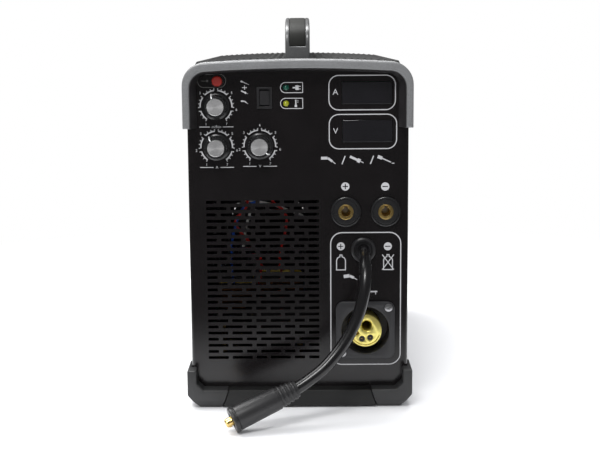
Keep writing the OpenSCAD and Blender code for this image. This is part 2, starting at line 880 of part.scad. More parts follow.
module lead_plug_pin() {
  color("gold") on_plug() {
    translate([0, 0, plug_len - 13.9]) cylinder(r = 7, h = 12);
    translate([0, 0, plug_len - 2]) cylinder(r = 4.5, h = 9);
    translate([0, 0, plug_len + 1.5]) rotate([0, 0, 90]) block([-1.3, 0, 0], [1.3, 5.8, 3]);
  }
}

// ---------- wire feeder ----------

wire_x = torch_bore_at[0];
wire_z = torch_bore_at[1];
wire_gap = 0.5;               // half of the gap between the rolls
feed_y = -112;
drive_r = 15;
drive_z = wire_z - drive_r - wire_gap;
press_r = 11;
press_z = wire_z + press_r + wire_gap;
roll_w = 10;
motor_neck_r = 14;
motor_shaft_r = 4;
feed_plate_x = 46;
feed_plate_t = 5;
feed_face = feed_plate_x + feed_plate_t;
arm_pivot = [feed_y - 34, wire_z + 16];
arm_pin_r = 3;
arm_top = wire_z + 21.5;
cheek_t = 5;
cheek_x = [wire_x - 12, wire_x + 7];
stem_x = wire_x + 14;
stem_y = feed_y + 30;
stem_r = 2.5;
lever_z = wire_z - 24;
fork_slot = 4;                // half of the width of the slot in the arm's end
fork_end = stem_y + 9;
guide_r = 3.4;
guide_out = [feed_y - 44, feed_y - 26];
guide_in = [feed_y + 40, feed_y + 54];

// A pin or a boss along X at a place [y, z] of the feeder.
module feeder_rod(place, r, x0, x1) {
  translate([0, place[0], place[1]]) rod_x(r, x0, x1);
}

module feed_plate() {
  color("silver") difference() {
    union() {
      block([feed_plate_x, guide_out[0], 36], [feed_face, feed_y + 42, wire_z + 8]);
      // boss and pin of the pressure arm
      block([feed_plate_x, arm_pivot[0] - 8, wire_z], [feed_face, arm_pivot[0] + 8, arm_pivot[1]]);
      feeder_rod(arm_pivot, 8, feed_plate_x, feed_face);
      feeder_rod(arm_pivot, arm_pin_r, feed_plate_x, cheek_x[1] + cheek_t);
      // blocks and tubes that guide the wire
      for (g = [guide_out, guide_in])
        block([feed_plate_x, g[0], wire_z - 7], [wire_x + 5, g[1], wire_z + 5]);
      translate([wire_x, 0, wire_z]) {
        rod_y(guide_r, torch_back + wire_gap, guide_out[1] + cut);
        rod_y(guide_r, guide_in[1] - cut, guide_in[1] + 22);
      }
      // ear and pin of the tension lever
      block([feed_plate_x, stem_y - 6, lever_z - 8], [stem_x - 7, stem_y + 6, lever_z + 6]);
      feeder_rod([stem_y, lever_z], stem_r, feed_plate_x, stem_x + 8);
      // posts on the partition
      for (y = [feed_y - 36, feed_y + 34]) feeder_rod([y, 44], 5, partition_x + sheet, feed_plate_x + cut);
    }
    feeder_rod([feed_y, drive_z], motor_neck_r + clear, feed_plate_x - cut, feed_face + cut);
    translate([wire_x, 0, wire_z]) rod_y(1.6, torch_back - cut, guide_in[1] + 22 + cut);
  }
}

module feed_motor() {
  color("dimgray") difference() {
    union() {
      feeder_rod([feed_y, drive_z], 19, -60, -51);
      feeder_rod([feed_y, drive_z], 24, -52, partition_x - clear);
      feeder_rod([feed_y, drive_z], motor_neck_r, partition_x - cut, feed_face + cut);
    }
    feeder_rod([feed_y, drive_z], motor_shaft_r + 0.06, 40, feed_face + 2 * cut);
  }
}

module drive_roll() {
  color("silver") difference() {
    union() {
      feeder_rod([feed_y, drive_z], drive_r, wire_x - roll_w / 2, wire_x + roll_w / 2);
      feeder_rod([feed_y, drive_z], motor_shaft_r, 41, wire_x + roll_w / 2);
      feeder_rod([feed_y, drive_z], 8, wire_x + roll_w / 2 - 0.1, wire_x + roll_w);
    }
    for (x = [wire_x - 2.2, wire_x + 2.2]) translate([x, feed_y, drive_z]) rotate([0, 90, 0])
      rotate_extrude() translate([drive_r, 0]) circle(r = 0.7, $fn = 16);
  }
}

module pressure_arm() {
  color("dimgray") difference() {
    union() {
      for (x = cheek_x) along_x(x, x + cheek_t) polygon([
        [arm_pivot[0] - 7, arm_pivot[1] - 7], [arm_pivot[0] - 7, arm_pivot[1] + 7],
        [fork_end, arm_top], [fork_end, arm_top - 8],
        [feed_y + 7, press_z - 6], [feed_y - 7, press_z - 6]]);
      block([cheek_x[0], feed_y + 16, arm_top - 8], [stem_x + 8, fork_end, arm_top]);
      feeder_rod([feed_y, press_z], arm_pin_r - 0.1, cheek_x[0], cheek_x[1] + cheek_t);
    }
    feeder_rod(arm_pivot, arm_pin_r + 0.06, cheek_x[0] - cut, cheek_x[1] + cheek_t + cut);
    block([stem_x - fork_slot, stem_y - 5, arm_top - 20], [stem_x + fork_slot, fork_end + cut, arm_top + cut]);
  }
}

module pressure_roll() {
  color("silver") difference() {
    feeder_rod([feed_y, press_z], press_r, wire_x - roll_w / 2 + 0.5, wire_x + roll_w / 2 - 0.5);
    feeder_rod([feed_y, press_z], arm_pin_r - 0.04, wire_x - roll_w, wire_x + roll_w);
  }
}

spring_gap = 13;              // room for the spring between the arm and the grip of the lever
spring_turns = 6;
spring_r = 5;
spring_wire_r = 0.8;

module tension_lever() {
  color("firebrick") {
    difference() {
      feeder_rod([stem_y, lever_z], 5, stem_x - 5, stem_x + 5);
      feeder_rod([stem_y, lever_z], stem_r + 0.06, stem_x - 6, stem_x + 6);
    }
    translate([stem_x, stem_y, lever_z + 3.5]) cylinder(r = stem_r, h = arm_top + spring_gap + 2 - lever_z);
    translate([stem_x, stem_y, arm_top + spring_gap]) cylinder(r1 = 8, r2 = 9, h = 20);
  }
}

module tension_spring() {
  pitch = (spring_gap - 2) / (spring_turns - 1);
  color("silver") for (k = [0 : spring_turns - 1])
    translate([stem_x, stem_y, arm_top + 1 + k * pitch]) rotate_extrude()
      translate([spring_r, 0]) circle(r = spring_wire_r, $fn = 16);
}

// ---------- wire spool ----------

spool_at = [78, 190];         // y, z of the axis
hub_r = 25;
hub_x0 = 34;
hub_x1 = 92;
spindle_shaft_r = 8;

module spool_spindle() {
  color("dimgray") translate([0, spool_at[0], spool_at[1]]) {
    rod_x(24, partition_x + sheet, partition_x + sheet + 4);
    rod_x(spindle_shaft_r, partition_x + sheet, 102);
    rod_x(13, hub_x1 + 0.5, 101);
  }
}

module spool_hub() {
  color("black") translate([0, spool_at[0], spool_at[1]]) difference() {
    union() {
      rod_x(hub_r, hub_x0, hub_x1);
      rod_x(33, hub_x0, hub_x0 + 4);
    }
    rod_x(spindle_shaft_r + 0.08, hub_x0 - cut, hub_x1 + cut);
    for (a = [0 : 60 : 300]) rotate([a, 0, 0]) translate([0, 0, 16.5]) rod_x(5, hub_x0 + 8, hub_x1 + cut);
  }
}

// ---------- power electronics ----------

fan_size = 120;
fan_front = back_in - 26;

module fan_frame() {
  color("black") at(fan_at) difference() {
    along_y(fan_front, back_in - 0.2) true_round_box(fan_size, fan_size, 6);
    rod_y(fan_r, fan_front - cut, back_in - 4);
    difference() {
      rod_y(fan_r, fan_front - cut, back_in + cut);
      rod_y(20, fan_front - cut, back_in + cut);
      for (a = [45, 135]) rotate([0, a, 0]) block([-62, fan_front, -3], [62, back_in + cut, 3]);
    }
  }
}

module fan_rotor() {
  color("dimgray") at(fan_at) union() {
    rod_y(19, fan_front + 1, back_in - 4.4);
    for (a = [0 : 360 / 7 : 359]) rotate([0, a, 0]) translate([36, (fan_front + back_in) / 2 - 2, 0])
      rotate([38, 0, 0]) cube([37, 1.6, 22], center = true);
  }
}

power_board_y = [-76, 190];
power_board_z = 46;
power_board_top = power_board_z + 2;
can_x = [-84, -48, -12];      // reservoir capacitors
can_y = 152;
can_r = 16;
can_h = 50;
heatsink_x = [-97, -41];
heatsink_y = [6, 120];
heatsink_w = 50;
choke = [[-92, -66, 0.1], [-54, -8, 54]];          // low and high corners, from the board up
main_transformer = [[-44, -66, 0.1], [2, -8, 66]];

module power_board() {
  color("darkgreen") {
    block([-103, power_board_y[0], power_board_z], [14, power_board_y[1], power_board_top]);
    for (x = [-88, 0], y = [power_board_y[0] + 14, power_board_y[1] - 14])
      translate([x, y, floor_z]) cylinder(r = 4, h = power_board_z - floor_z + 0.5);
    for (x = can_x) translate([x, can_y, power_board_top - 0.1]) cylinder(r = can_r, h = can_h);
  }
}

module heatsinks() {
  fins = 8;
  fin_pitch = 6.8;
  fin_t = 2.4;
  color("silver") for (x = heatsink_x) {
    block([x, heatsink_y[0], power_board_top + 0.1], [x + heatsink_w, heatsink_y[1], power_board_top + 6]);
    for (k = [0 : fins - 1]) let (fin = x + k * fin_pitch)
      block([fin, heatsink_y[0], power_board_top + 5], [fin + fin_t, heatsink_y[1], power_board_top + 60]);
  }
}

module transformer() {
  color("goldenrod") translate([0, 0, power_board_top]) for (core = [choke, main_transformer])
    block(core[0], core[1]);
}

// ---------- rear fittings ----------

module mains_rocker() {
  color("firebrick") at(mains_switch_at) mirror([0, 1, 0]) rocker(16.4, 11.5, 3);
}

module mains_gland() {
  color("black") at(mains_gland_at) difference() {
    union() {
      rod_y(8, back_in - 10, rear_y + cut);
      along_y(rear_y, rear_y + 6) circle(r = 12, $fn = 6);
      rod_y(10.5, rear_y + 6, rear_y + 15);
    }
    rod_y(5.5, back_in - 10 - cut, rear_y + 15 + cut);
  }
}

module gas_inlet() {
  color("gold") at(gas_at) difference() {
    union() {
      rod_y(6.5, back_in - 12, rear_y + 16.5);
      along_y(rear_y, rear_y + 4) circle(r = 9.5, $fn = 6);
    }
    rod_y(3, back_in - 13, rear_y + 20);
  }
}

module gas_valve() {
  color("dimgray") at(gas_at) union() {
    block([-12, back_in - 40, -12], [12, back_in - 12.1, 12]);
    translate([0, back_in - 26, 11.9]) cylinder(r = 11, h = 34);
    translate([0, back_in - 26, 45.8]) cylinder(r = 5, h = 6);
  }
}

// ---------- nodes ----------

base_pan();
centre_partition();
front_panel();
rear_panel();
left_side_panel();
door_frame();
roof_panel();
ribbed_deck();
side_door();
hinge_leaves();
hinge_pins();
door_knob();
handle_frame();
handle_grip();
front_top_bumper();
rear_top_bumper();
bumper_liners();
corner_feet();
base_strips();
screws();
knob(wire_speed_at);  // wire_speed_knob
knob_cap(wire_speed_at);  // wire_speed_knob_cap
knob(arc_current_at);  // arc_current_knob
knob_cap(arc_current_at);  // arc_current_knob_cap
knob(voltage_at);  // voltage_knob
knob_cap(voltage_at);  // voltage_knob_cap
potentiometers();
control_board();
meter_windows();
mode_rocker();
inch_button();
switch_bodies();
power_lamp();
thermal_lamp();
socket_insulators();
socket_contacts();
torch_socket_flange();
torch_socket_core();
lead_gland();
lead_cable();
lead_plug_sleeve();
lead_plug_pin();
feed_plate();
feed_motor();
drive_roll();
pressure_arm();
pressure_roll();
tension_lever();
tension_spring();
spool_spindle();
spool_hub();
fan_frame();
fan_rotor();
power_board();
heatsinks();
transformer();
mains_rocker();
mains_gland();
gas_inlet();
gas_valve();
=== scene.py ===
"""Looks of a three-process inverter welding machine, built round its CAD frame.

Sizes in the classes are millimetres, in the frame of the CAD model: +X is to the right of the
control panel, the panel faces -Y and +Z is up. The bench (class Piece) turns them into metres.
"""

import json
import logging
import math
from collections.abc import Callable, Iterator, Sequence
from contextlib import contextmanager
from dataclasses import dataclass, field, replace
from enum import Enum

import bmesh
import bpy
from mathutils import Matrix, Vector


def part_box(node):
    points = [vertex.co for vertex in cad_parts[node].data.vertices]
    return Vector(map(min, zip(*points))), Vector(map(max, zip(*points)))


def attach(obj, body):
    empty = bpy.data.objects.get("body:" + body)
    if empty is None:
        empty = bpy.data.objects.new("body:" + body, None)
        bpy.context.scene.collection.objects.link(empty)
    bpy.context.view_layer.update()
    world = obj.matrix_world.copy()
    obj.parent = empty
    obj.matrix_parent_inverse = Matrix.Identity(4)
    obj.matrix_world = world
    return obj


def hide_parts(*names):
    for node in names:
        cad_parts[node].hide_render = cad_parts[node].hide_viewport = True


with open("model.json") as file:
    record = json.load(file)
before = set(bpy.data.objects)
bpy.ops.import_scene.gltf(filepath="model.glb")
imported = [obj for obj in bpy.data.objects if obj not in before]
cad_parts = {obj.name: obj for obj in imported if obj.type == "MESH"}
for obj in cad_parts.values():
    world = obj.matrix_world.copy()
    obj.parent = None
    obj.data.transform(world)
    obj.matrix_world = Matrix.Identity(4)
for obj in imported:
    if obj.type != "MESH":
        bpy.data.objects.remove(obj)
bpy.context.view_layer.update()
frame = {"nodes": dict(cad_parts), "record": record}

MM = 0.001
FULL_TURN = 2 * math.pi
QUARTER = 90.0                # degrees
ROUND = 48                    # sides of a round piece
WIRE_STEPS = 3                # steps between a wire's points, and round a quarter of it
CRISP, EVEN, GENTLE, FULL = 30.0, 40.0, 50.0, 60.0     # degrees: less sharp edges are shaded smooth
MERGE = 1e-5                  # metres between a CAD copy's vertices that are one
DOUBLE = 1e-7                 # metres between a new piece's vertices that are one
HANDLE_PART = 6               # a knot's handle is this part of the way between its neighbours

Triple = Sequence[float]
Pair = Sequence[float]
Bar = tuple[float, float, float, float, float]
Profile = Sequence[Pair]
Colour = tuple[float, float, float]
Colour4 = tuple[float, float, float, float]
Loop = list[tuple[float, float]]

log = logging.getLogger("welder")


class Way(Enum):
    """A direction in the frame that a piece grows in."""

    FRONT = (0.0, -1.0, 0.0)
    REAR = (0.0, 1.0, 0.0)
    RIGHT = (1.0, 0.0, 0.0)
    LEFT = (-1.0, 0.0, 0.0)
    UP = (0.0, 0.0, 1.0)

    @property
    def vector(self) -> Vector:
        """Return the direction as a vector."""
        return Vector(self.value)


def mm(*point: float) -> Vector:
    """Return a point given in millimetres as a vector in metres."""
    return Vector(point) * MM


def middle(node: str) -> Vector:
    """Return the middle of a CAD node's box, in millimetres."""
    low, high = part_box(node)
    return (low + high) / 2 / MM


def low_corner(node: str) -> Vector:
    """Return the lowest corner of a CAD node's box, in millimetres."""
    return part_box(node)[0] / MM


def high_corner(node: str) -> Vector:
    """Return the highest corner of a CAD node's box, in millimetres."""
    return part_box(node)[1] / MM


def mount(name: str) -> Vector:
    """Return the place of one of the record's mounts, in millimetres."""
    found = next(m for m in frame["record"]["mounts"] if m["name"] == name)
    return Vector(found["pos_m"]) / MM


def placed(origin: Triple, way: Vector) -> Matrix:
    """Return the matrix that turns +Z to a direction and moves the origin to a place in millimetres."""
    turn = Vector((0, 0, 1)).rotation_difference(way).to_matrix().to_4x4()
    return Matrix.Translation(Vector(origin) * MM) @ turn


FRONT_Y = low_corner("front_panel")[1]
REAR_Y = high_corner("rear_panel")[1]
CASE_X = high_corner("roof_panel")[0]
CASE_TOP = high_corner("roof_panel")[2]


# ---------------------------------------------------------------- shader graphs

class Graph:
    """Places and joins the nodes of one node tree."""

    def __init__(self, tree: bpy.types.NodeTree) -> None:
        """Take a tree and empty it."""
        self.tree = tree
        tree.nodes.clear()

    def node(self, kind: str, inputs: dict | None = None, **settings: object) -> bpy.types.Node:
        """Add a node.

        Args:
            kind: The node's type, without the "ShaderNode" in front.
            inputs: Values or output sockets for its inputs, by name or number.
            settings: Its other properties.

        Returns:
            The new node.
        """
        made = self.tree.nodes.new("ShaderNode" + kind)
        for key, value in settings.items():
            setattr(made, key, value)
        for key, value in (inputs or {}).items():
            if isinstance(value, bpy.types.NodeSocket):
                self.tree.links.new(value, made.inputs[key])
            else:
                made.inputs[key].default_value = value
        return made

    def math(self, operation: str, *values: object) -> bpy.types.NodeSocket:
        """Return the output of a Math node."""
        return self.node("Math", dict(enumerate(values)), operation=operation).outputs[0]

    def place(self) -> bpy.types.NodeSocket:
        """Return the Object coordinates."""
        return self.node("TexCoord").outputs["Object"]

    def group(self, tree: bpy.types.NodeTree, **values: object) -> bpy.types.Node:
        """Add a node group, with underscores in its inputs' names read as spaces."""
        made = self.tree.nodes.new("ShaderNodeGroup")
        made.node_tree = tree
        for key, value in values.items():
            made.inputs[key.replace("_", " ")].default_value = value
        return made


class Effect:
    """A shader node group that several finishes share."""

    def __init__(self, name: str, inputs: dict[str, object], outputs: dict[str, str]) -> None:
        """Make the group and its sockets.

        Args:
            name: The group's name.
            inputs: Default values by name: a number, a vector or a colour of four.
            outputs: Kinds by name, each "Float", "Vector" or "Color".
        """
        self.tree = bpy.data.node_groups.new(name, "ShaderNodeTree")
        self.graph = Graph(self.tree)
        for key, value in inputs.items():
            kind = "Float" if isinstance(value, float) else ("Vector" if len(value) == 3 else "Color")
            socket = self.tree.interface.new_socket(key, in_out="INPUT", socket_type="NodeSocket" + kind)
            socket.default_value = value
        for key, kind in outputs.items():
            self.tree.interface.new_socket(key, in_out="OUTPUT", socket_type="NodeSocket" + kind)
        self.inputs = self.tree.nodes.new("NodeGroupInput").outputs
        self.outputs = self.tree.nodes.new("NodeGroupOutput").inputs

    def put(self, **sockets: bpy.types.NodeSocket) -> bpy.types.NodeTree:
        """Join sockets to the group's outputs and return its tree."""
        for key, socket in sockets.items():
            self.tree.links.new(socket, self.outputs[key])
        return self.tree


def grain_effect() -> bpy.types.NodeTree:
    """Return the group for a fine moulded or sprayed grain: Height."""
    effect = Effect("fine_grain", {"Scale": 1500.0}, {"Height": "Float"})
    graph = effect.graph
    noise = graph.node("TexNoise", {"Vector": graph.place(), "Scale": effect.inputs["Scale"], "Detail": 2.0})
    return effect.put(Height=noise.outputs["Fac"])


def marks_effect() -> bpy.types.NodeTree:
    """Return the group for faint handling marks: Value, from Low to High."""
    effect = Effect("handling_marks", {"Low": 0.4, "High": 0.5, "Scale": 14.0}, {"Value": "Float"})
    graph = effect.graph
    clouds = graph.node("TexNoise", {"Vector": graph.place(), "Scale": effect.inputs["Scale"],
                                     "Detail": 5.0, "Roughness": 0.62, "Distortion": 0.4})
    spread = graph.node("MapRange", {"Value": clouds.outputs["Fac"], "From Min": 0.35, "From Max": 0.65,
                                     "To Min": effect.inputs["Low"], "To Max": effect.inputs["High"]})
    return effect.put(Value=spread.outputs["Result"])


def tint_effect() -> bpy.types.NodeTree:
    """Return the group for an uneven tone between two colours: Colour."""
    grey = (0.5, 0.5, 0.5, 1.0)
    effect = Effect("uneven_tone", {"Main": grey, "Other": grey, "Scale": 30.0}, {"Colour": "Color"})
    graph = effect.graph
    clouds = graph.node("TexNoise", {"Vector": graph.place(), "Scale": effect.inputs["Scale"],
                                     "Detail": 4.0})
    spread = graph.node("MapRange", {"Value": clouds.outputs["Fac"], "From Min": 0.4, "From Max": 0.7})
    mix = graph.node("MixRGB", {"Fac": spread.outputs["Result"], "Color1": effect.inputs["Main"],
                                "Color2": effect.inputs["Other"]})
    return effect.put(Colour=mix.outputs["Color"])


def rings_effect() -> bpy.types.NodeTree:
    """Return the group for the fine rings that a lathe leaves round an axis: Height."""
    effect = Effect("turning_rings", {"Centre": (0.0, 0.0, 0.0), "Plane": (1.0, 0.0, 1.0), "Pitch": 0.0002},
                    {"Height": "Float"})
    graph = effect.graph
    off = graph.node("VectorMath", {0: graph.place(), 1: effect.inputs["Centre"]}, operation="SUBTRACT")
    flat = graph.node("VectorMath", {0: off.outputs[0], 1: effect.inputs["Plane"]}, operation="MULTIPLY")
    radius = graph.node("VectorMath", {0: flat.outputs[0]}, operation="LENGTH").outputs["Value"]
    phase = graph.math("MULTIPLY", graph.math("DIVIDE", radius, effect.inputs["Pitch"]), FULL_TURN)
    ridges = graph.math("MULTIPLY_ADD", graph.math("SINE", phase), 0.5, 0.5)
    return effect.put(Height=ridges)


def streaks_effect() -> bpy.types.NodeTree:
    """Return the group for rolled or brushed metal, with long fine streaks: Height."""
    effect = Effect("brushed_streaks", {"Stretch": (40.0, 2000.0, 2000.0)}, {"Height": "Float"})
    graph = effect.graph
    long = graph.node("VectorMath", {0: graph.place(), 1: effect.inputs["Stretch"]}, operation="MULTIPLY")
    noise = graph.node("TexNoise", {"Vector": long.outputs[0], "Scale": 1.0, "Detail": 3.0})
    return effect.put(Height=noise.outputs["Fac"])


def dust_effect() -> bpy.types.NodeTree:
    """Return the group for dust on what faces up: Mask."""
    effect = Effect("settled_dust", {"Amount": 0.1}, {"Mask": "Float"})
    graph = effect.graph
    normal = graph.node("NewGeometry").outputs["Normal"]
    up = graph.node("SeparateXYZ", {"Vector": normal}).outputs["Z"]
    level = graph.node("MapRange", {"Value": up, "From Min": 0.6, "From Max": 1.0}).outputs["Result"]
    clouds = graph.node("TexNoise", {"Vector": graph.place(), "Scale": 60.0, "Detail": 6.0}).outputs["Fac"]
    patchy = graph.math("MULTIPLY", level, clouds)
    return effect.put(Mask=graph.math("MULTIPLY", patchy, effect.inputs["Amount"]))


GRAIN, MARKS, TINT = grain_effect(), marks_effect(), tint_effect()
RINGS, STREAKS, DUST = rings_effect(), streaks_effect(), dust_effect()


# ---------------------------------------------------------------- finishes

@dataclass(frozen=True)
class Finish:
    """A surface: the constants of its shader, and how its tone, gloss and relief vary.

    Grain is cells a metre, relief the height of the grain in metres, tone how far the colour
    strays, smudge how far the roughness strays, and slot the record's material slot.
    Slot is not used.
    """

    name: str
    colour: Colour
    roughness: float = 0.5
    slot: str = "black_plastic"
    metallic: float = 0.0
    coat: float = 0.0
    anisotropy: float = 0.0
    specular: float = 0.5
    grain: float = 1600.0
    relief: float = 0.00002
    tone: float = 0.18
    smudge: float = 0.05

    def material(self) -> bpy.types.Material:
        """Return the material, which is built the first time that it is asked for."""
        known = bpy.data.materials.get(self.name)
        if known:
            return known
        made = bpy.data.materials.new(self.name)
        made.use_nodes = True
        graph = Graph(made.node_tree)
        shader = graph.node("BsdfPrincipled", {
            "Metallic": self.metallic, "Coat Weight": self.coat, "Coat Roughness": 0.12,
            "Anisotropic": self.anisotropy, "Specular IOR Level": self.specular})
        graph.node("OutputMaterial", {"Surface": shader.outputs["BSDF"]})
        link = made.node_tree.links.new
        link(self.tone_socket(graph), shader.inputs["Base Color"])
        gloss = graph.group(MARKS, Low=self.roughness - self.smudge, High=self.roughness + self.smudge)
        link(gloss.outputs["Value"], shader.inputs["Roughness"])
        bump = graph.node("Bump", {"Strength": 1.0, "Distance": self.relief,
                                   "Height": self.height_socket(graph)})
        link(bump.outputs["Normal"], shader.inputs["Normal"])
        self.extra(graph, shader)
        made.diffuse_color = (*self.colour, 1.0)
        return made

    def other(self, factor: float) -> tuple[float, ...]:
        """Return the colour made lighter or darker, with alpha."""
        return (*(min(1.0, c * factor) for c in self.colour), 1.0)

    def tone_socket(self, graph: Graph) -> bpy.types.NodeSocket:
        """Return the socket that gives the base colour."""
        return graph.group(TINT, Main=self.other(1.0), Other=self.other(1 + self.tone)).outputs["Colour"]

    def height_socket(self, graph: Graph) -> bpy.types.NodeSocket:
        """Return the socket that gives the relief."""
        return graph.group(GRAIN, Scale=self.grain).outputs["Height"]

    def extra(self, graph: Graph, shader: bpy.types.Node) -> None:
        """Add what only one kind of finish has."""


@dataclass(frozen=True)
class Dusted(Finish):
    """A finish with a little dust on what faces up."""

    dust: float = 0.12
    dust_colour: Colour = (0.42, 0.40, 0.37)

    def tone_socket(self, graph: Graph) -> bpy.types.NodeSocket:
        """Return the base colour under its dust."""
        mask = graph.group(DUST, Amount=self.dust).outputs["Mask"]
        mix = graph.node("MixRGB", {"Fac": mask, "Color1": super().tone_socket(graph),
                                    "Color2": (*self.dust_colour, 1.0)})
        return mix.outputs["Color"]


@dataclass(frozen=True)
class Flaked(Finish):
    """A paint with fine metal flakes."""

    flakes: float = 2600.0

    def tone_socket(self, graph: Graph) -> bpy.types.NodeSocket:
        """Return a colour that changes from flake to flake."""
        cells = graph.node("TexVoronoi", {"Vector": graph.place(), "Scale": self.flakes})
        shade = graph.node("SeparateColor", {"Color": cells.outputs["Color"]}).outputs["Red"]
        spread = graph.node("MapRange", {"Value": shade, "From Min": 0.2, "From Max": 1.0}).outputs["Result"]
        mix = graph.node("MixRGB", {"Fac": spread, "Color1": super().tone_socket(graph),
                                    "Color2": self.other(1.5)})
        return mix.outputs["Color"]


@dataclass(frozen=True)
class Turned(Finish):
    """Metal faced on a lathe, with rings round its axis through centre, in millimetres."""

    centre: Triple = (0.0, 0.0, 0.0)
    plane: Triple = (1.0, 0.0, 1.0)
    pitch: float = 0.35

    def height_socket(self, graph: Graph) -> bpy.types.NodeSocket:
        """Return the relief of the rings."""
        rings = graph.group(RINGS, Centre=tuple(c * MM for c in self.centre), Plane=tuple(self.plane),
                            Pitch=self.pitch * MM)
        return rings.outputs["Height"]

    def extra(self, graph: Graph, shader: bpy.types.Node) -> None:
        """Lay the stretched highlight round the axis."""
        axis = "XYZ"[list(self.plane).index(0.0)]
        tangent = graph.node("Tangent", direction_type="RADIAL", axis=axis)
        graph.tree.links.new(tangent.outputs["Tangent"], shader.inputs["Tangent"])


@dataclass(frozen=True)
class Brushed(Finish):
    """Rolled or extruded metal with streaks along one axis."""

    stretch: Triple = (40.0, 2000.0, 2000.0)

    def height_socket(self, graph: Graph) -> bpy.types.NodeSocket:
        """Return the relief of the streaks."""
        return graph.group(STREAKS, Stretch=tuple(self.stretch)).outputs["Height"]


@dataclass(frozen=True)
class Spangled(Finish):
    """Zinc-coated sheet with its crystal pattern."""

    cell: float = 130.0

    def tone_socket(self, graph: Graph) -> bpy.types.NodeSocket:
        """Return a grey that changes from crystal to crystal."""
        cells = graph.node("TexVoronoi", {"Vector": graph.place(), "Scale": self.cell})
        shade = graph.node("SeparateColor", {"Color": cells.outputs["Color"]}).outputs["Green"]
        mix = graph.node("MixRGB", {"Fac": shade, "Color1": self.other(0.86), "Color2": self.other(1.1)})
        return mix.outputs["Color"]


@dataclass(frozen=True)
class Board(Finish):
    """A circuit board: solder mask over copper tracks, with tinned pads."""

    track: Colour = (0.03, 0.21, 0.08)
    pad: Colour = (0.62, 0.60, 0.55)

    def tone_socket(self, graph: Graph) -> bpy.types.NodeSocket:
        """Return the colour of mask, tracks and pads."""
        place = graph.place()
        tracks = graph.node("TexVoronoi", {"Vector": place, "Scale": 150.0}, distance="MANHATTAN",
                            feature="F1")
        steps = graph.math("FRACT", graph.math("MULTIPLY", tracks.outputs["Distance"], 5.0))
        line = graph.math("GREATER_THAN", steps, 0.6)
        base = graph.node("MixRGB", {"Fac": line, "Color1": self.other(1.0), "Color2": (*self.track, 1.0)})
        dots = graph.node("TexVoronoi", {"Vector": place, "Scale": 330.0, "Randomness": 0.6})
        spot = graph.math("LESS_THAN", dots.outputs["Distance"], 0.16)
        mix = graph.node("MixRGB", {"Fac": spot, "Color1": base.outputs["Color"],
                                    "Color2": (*self.pad, 1.0)})
        return mix.outputs["Color"]


@dataclass(frozen=True)
class Wound(Finish):
    """Enamelled copper wire wound in layers round an axis of the frame."""

    along: Triple = (0.0, 1.0, 0.0)
    wire: float = 1.2

    def height_socket(self, graph: Graph) -> bpy.types.NodeSocket:
        """Return the relief of the turns."""
        along = graph.node("VectorMath", {0: graph.place(), 1: tuple(self.along)}, operation="DOT_PRODUCT")
        phase = graph.math("MULTIPLY", along.outputs["Value"], math.pi / (self.wire * MM))
        return graph.math("ABSOLUTE", graph.math("SINE", phase))


PANEL = Finish("panel_powder_coat", (0.0046, 0.0037, 0.0040), 0.20, "black_panel", grain=900.0,
               relief=0.000004, tone=0.3, smudge=0.02)
SHEET = Finish("side_powder_coat", (0.012, 0.0115, 0.012), 0.42, "black_panel", grain=700.0,
               relief=0.00003, tone=0.25)
ROOF = Dusted("roof_powder_coat", (0.012, 0.0115, 0.012), 0.42, "black_panel", grain=700.0,
              relief=0.00003, dust=0.05)
DECK = Dusted("ribbed_deck_plastic", (0.011, 0.0112, 0.0112), 0.52, "black_deck", specular=0.35, dust=0.02)
BUMPER = Flaked("bumper_silver_paint", (0.168, 0.170, 0.172), 0.40, "silver_plastic", metallic=0.35,
                relief=0.000025, smudge=0.04)
HANDLE = Flaked("handle_silver_paint", (0.105, 0.106, 0.107), 0.36, "silver_plastic", metallic=0.4,
                relief=0.000015)
LINER = Finish("liner_plastic", (0.017, 0.0155, 0.0165), 0.5, "dark_plastic", relief=0.00004)
FOOT = Finish("foot_plastic", (0.024, 0.0242, 0.0246), 0.48, "dark_plastic", grain=1100.0, relief=0.00005)
STRIP = Finish("base_strip_plastic", (0.0075, 0.0076, 0.0074), 0.55, "dark_plastic", relief=0.00004)
GRIP = Finish("grip_rubber", (0.0115, 0.0118, 0.0098), 0.72, "soft_grip", grain=1400.0, relief=0.00007,
              specular=0.3)
KNOB = Finish("knob_plastic", (0.009, 0.009, 0.0095), 0.26, "black_plastic", coat=0.35, relief=0.000006)
SATIN = Finish("satin_black_plastic", (0.013, 0.0125, 0.0135), 0.36, "black_plastic", relief=0.00001)
FLANGE = Finish("torch_flange_plastic", (0.020, 0.0198, 0.0215), 0.42, "dark_plastic", relief=0.00003)
SLEEVE = Finish("plug_sleeve_rubber", (0.0175, 0.0172, 0.0180), 0.42, "dark_plastic", grain=1300.0,
                relief=0.00004, tone=0.22)
CABLE = Finish("lead_rubber", (0.0058, 0.0056, 0.0061), 0.28, "cable_rubber", grain=900.0,
               relief=0.000012, coat=0.15)
INK = Finish("print_ink", (0.37, 0.37, 0.378), 0.55, "silver_plastic", relief=0.000004, tone=0.12)
FAINT_INK = Finish("faint_print_ink", (0.06, 0.058, 0.055), 0.55, "dark_plastic", relief=0.000004)
POINTER = Finish("pointer_white", (0.80, 0.80, 0.80), 0.4, "silver_plastic", relief=0.000004, tone=0.1)
WINDOW = Finish("tinted_window", (0.006, 0.0058, 0.0072), 0.12, "window", coat=0.6, relief=0.000002,
                smudge=0.02)
RED = Finish("red_button_plastic", (0.21, 0.009, 0.005), 0.3, "red_plastic", coat=0.5, relief=0.000006,
             tone=0.5)
GREEN = Finish("green_lens_plastic", (0.002, 0.042, 0.027), 0.14, "green_lens", coat=0.8, relief=0.000003,
               grain=300.0, tone=0.9)
YELLOW = Finish("yellow_lens_plastic", (0.175, 0.185, 0.006), 0.14, "yellow_lens", coat=0.8,
                relief=0.000003, grain=300.0, tone=0.5)
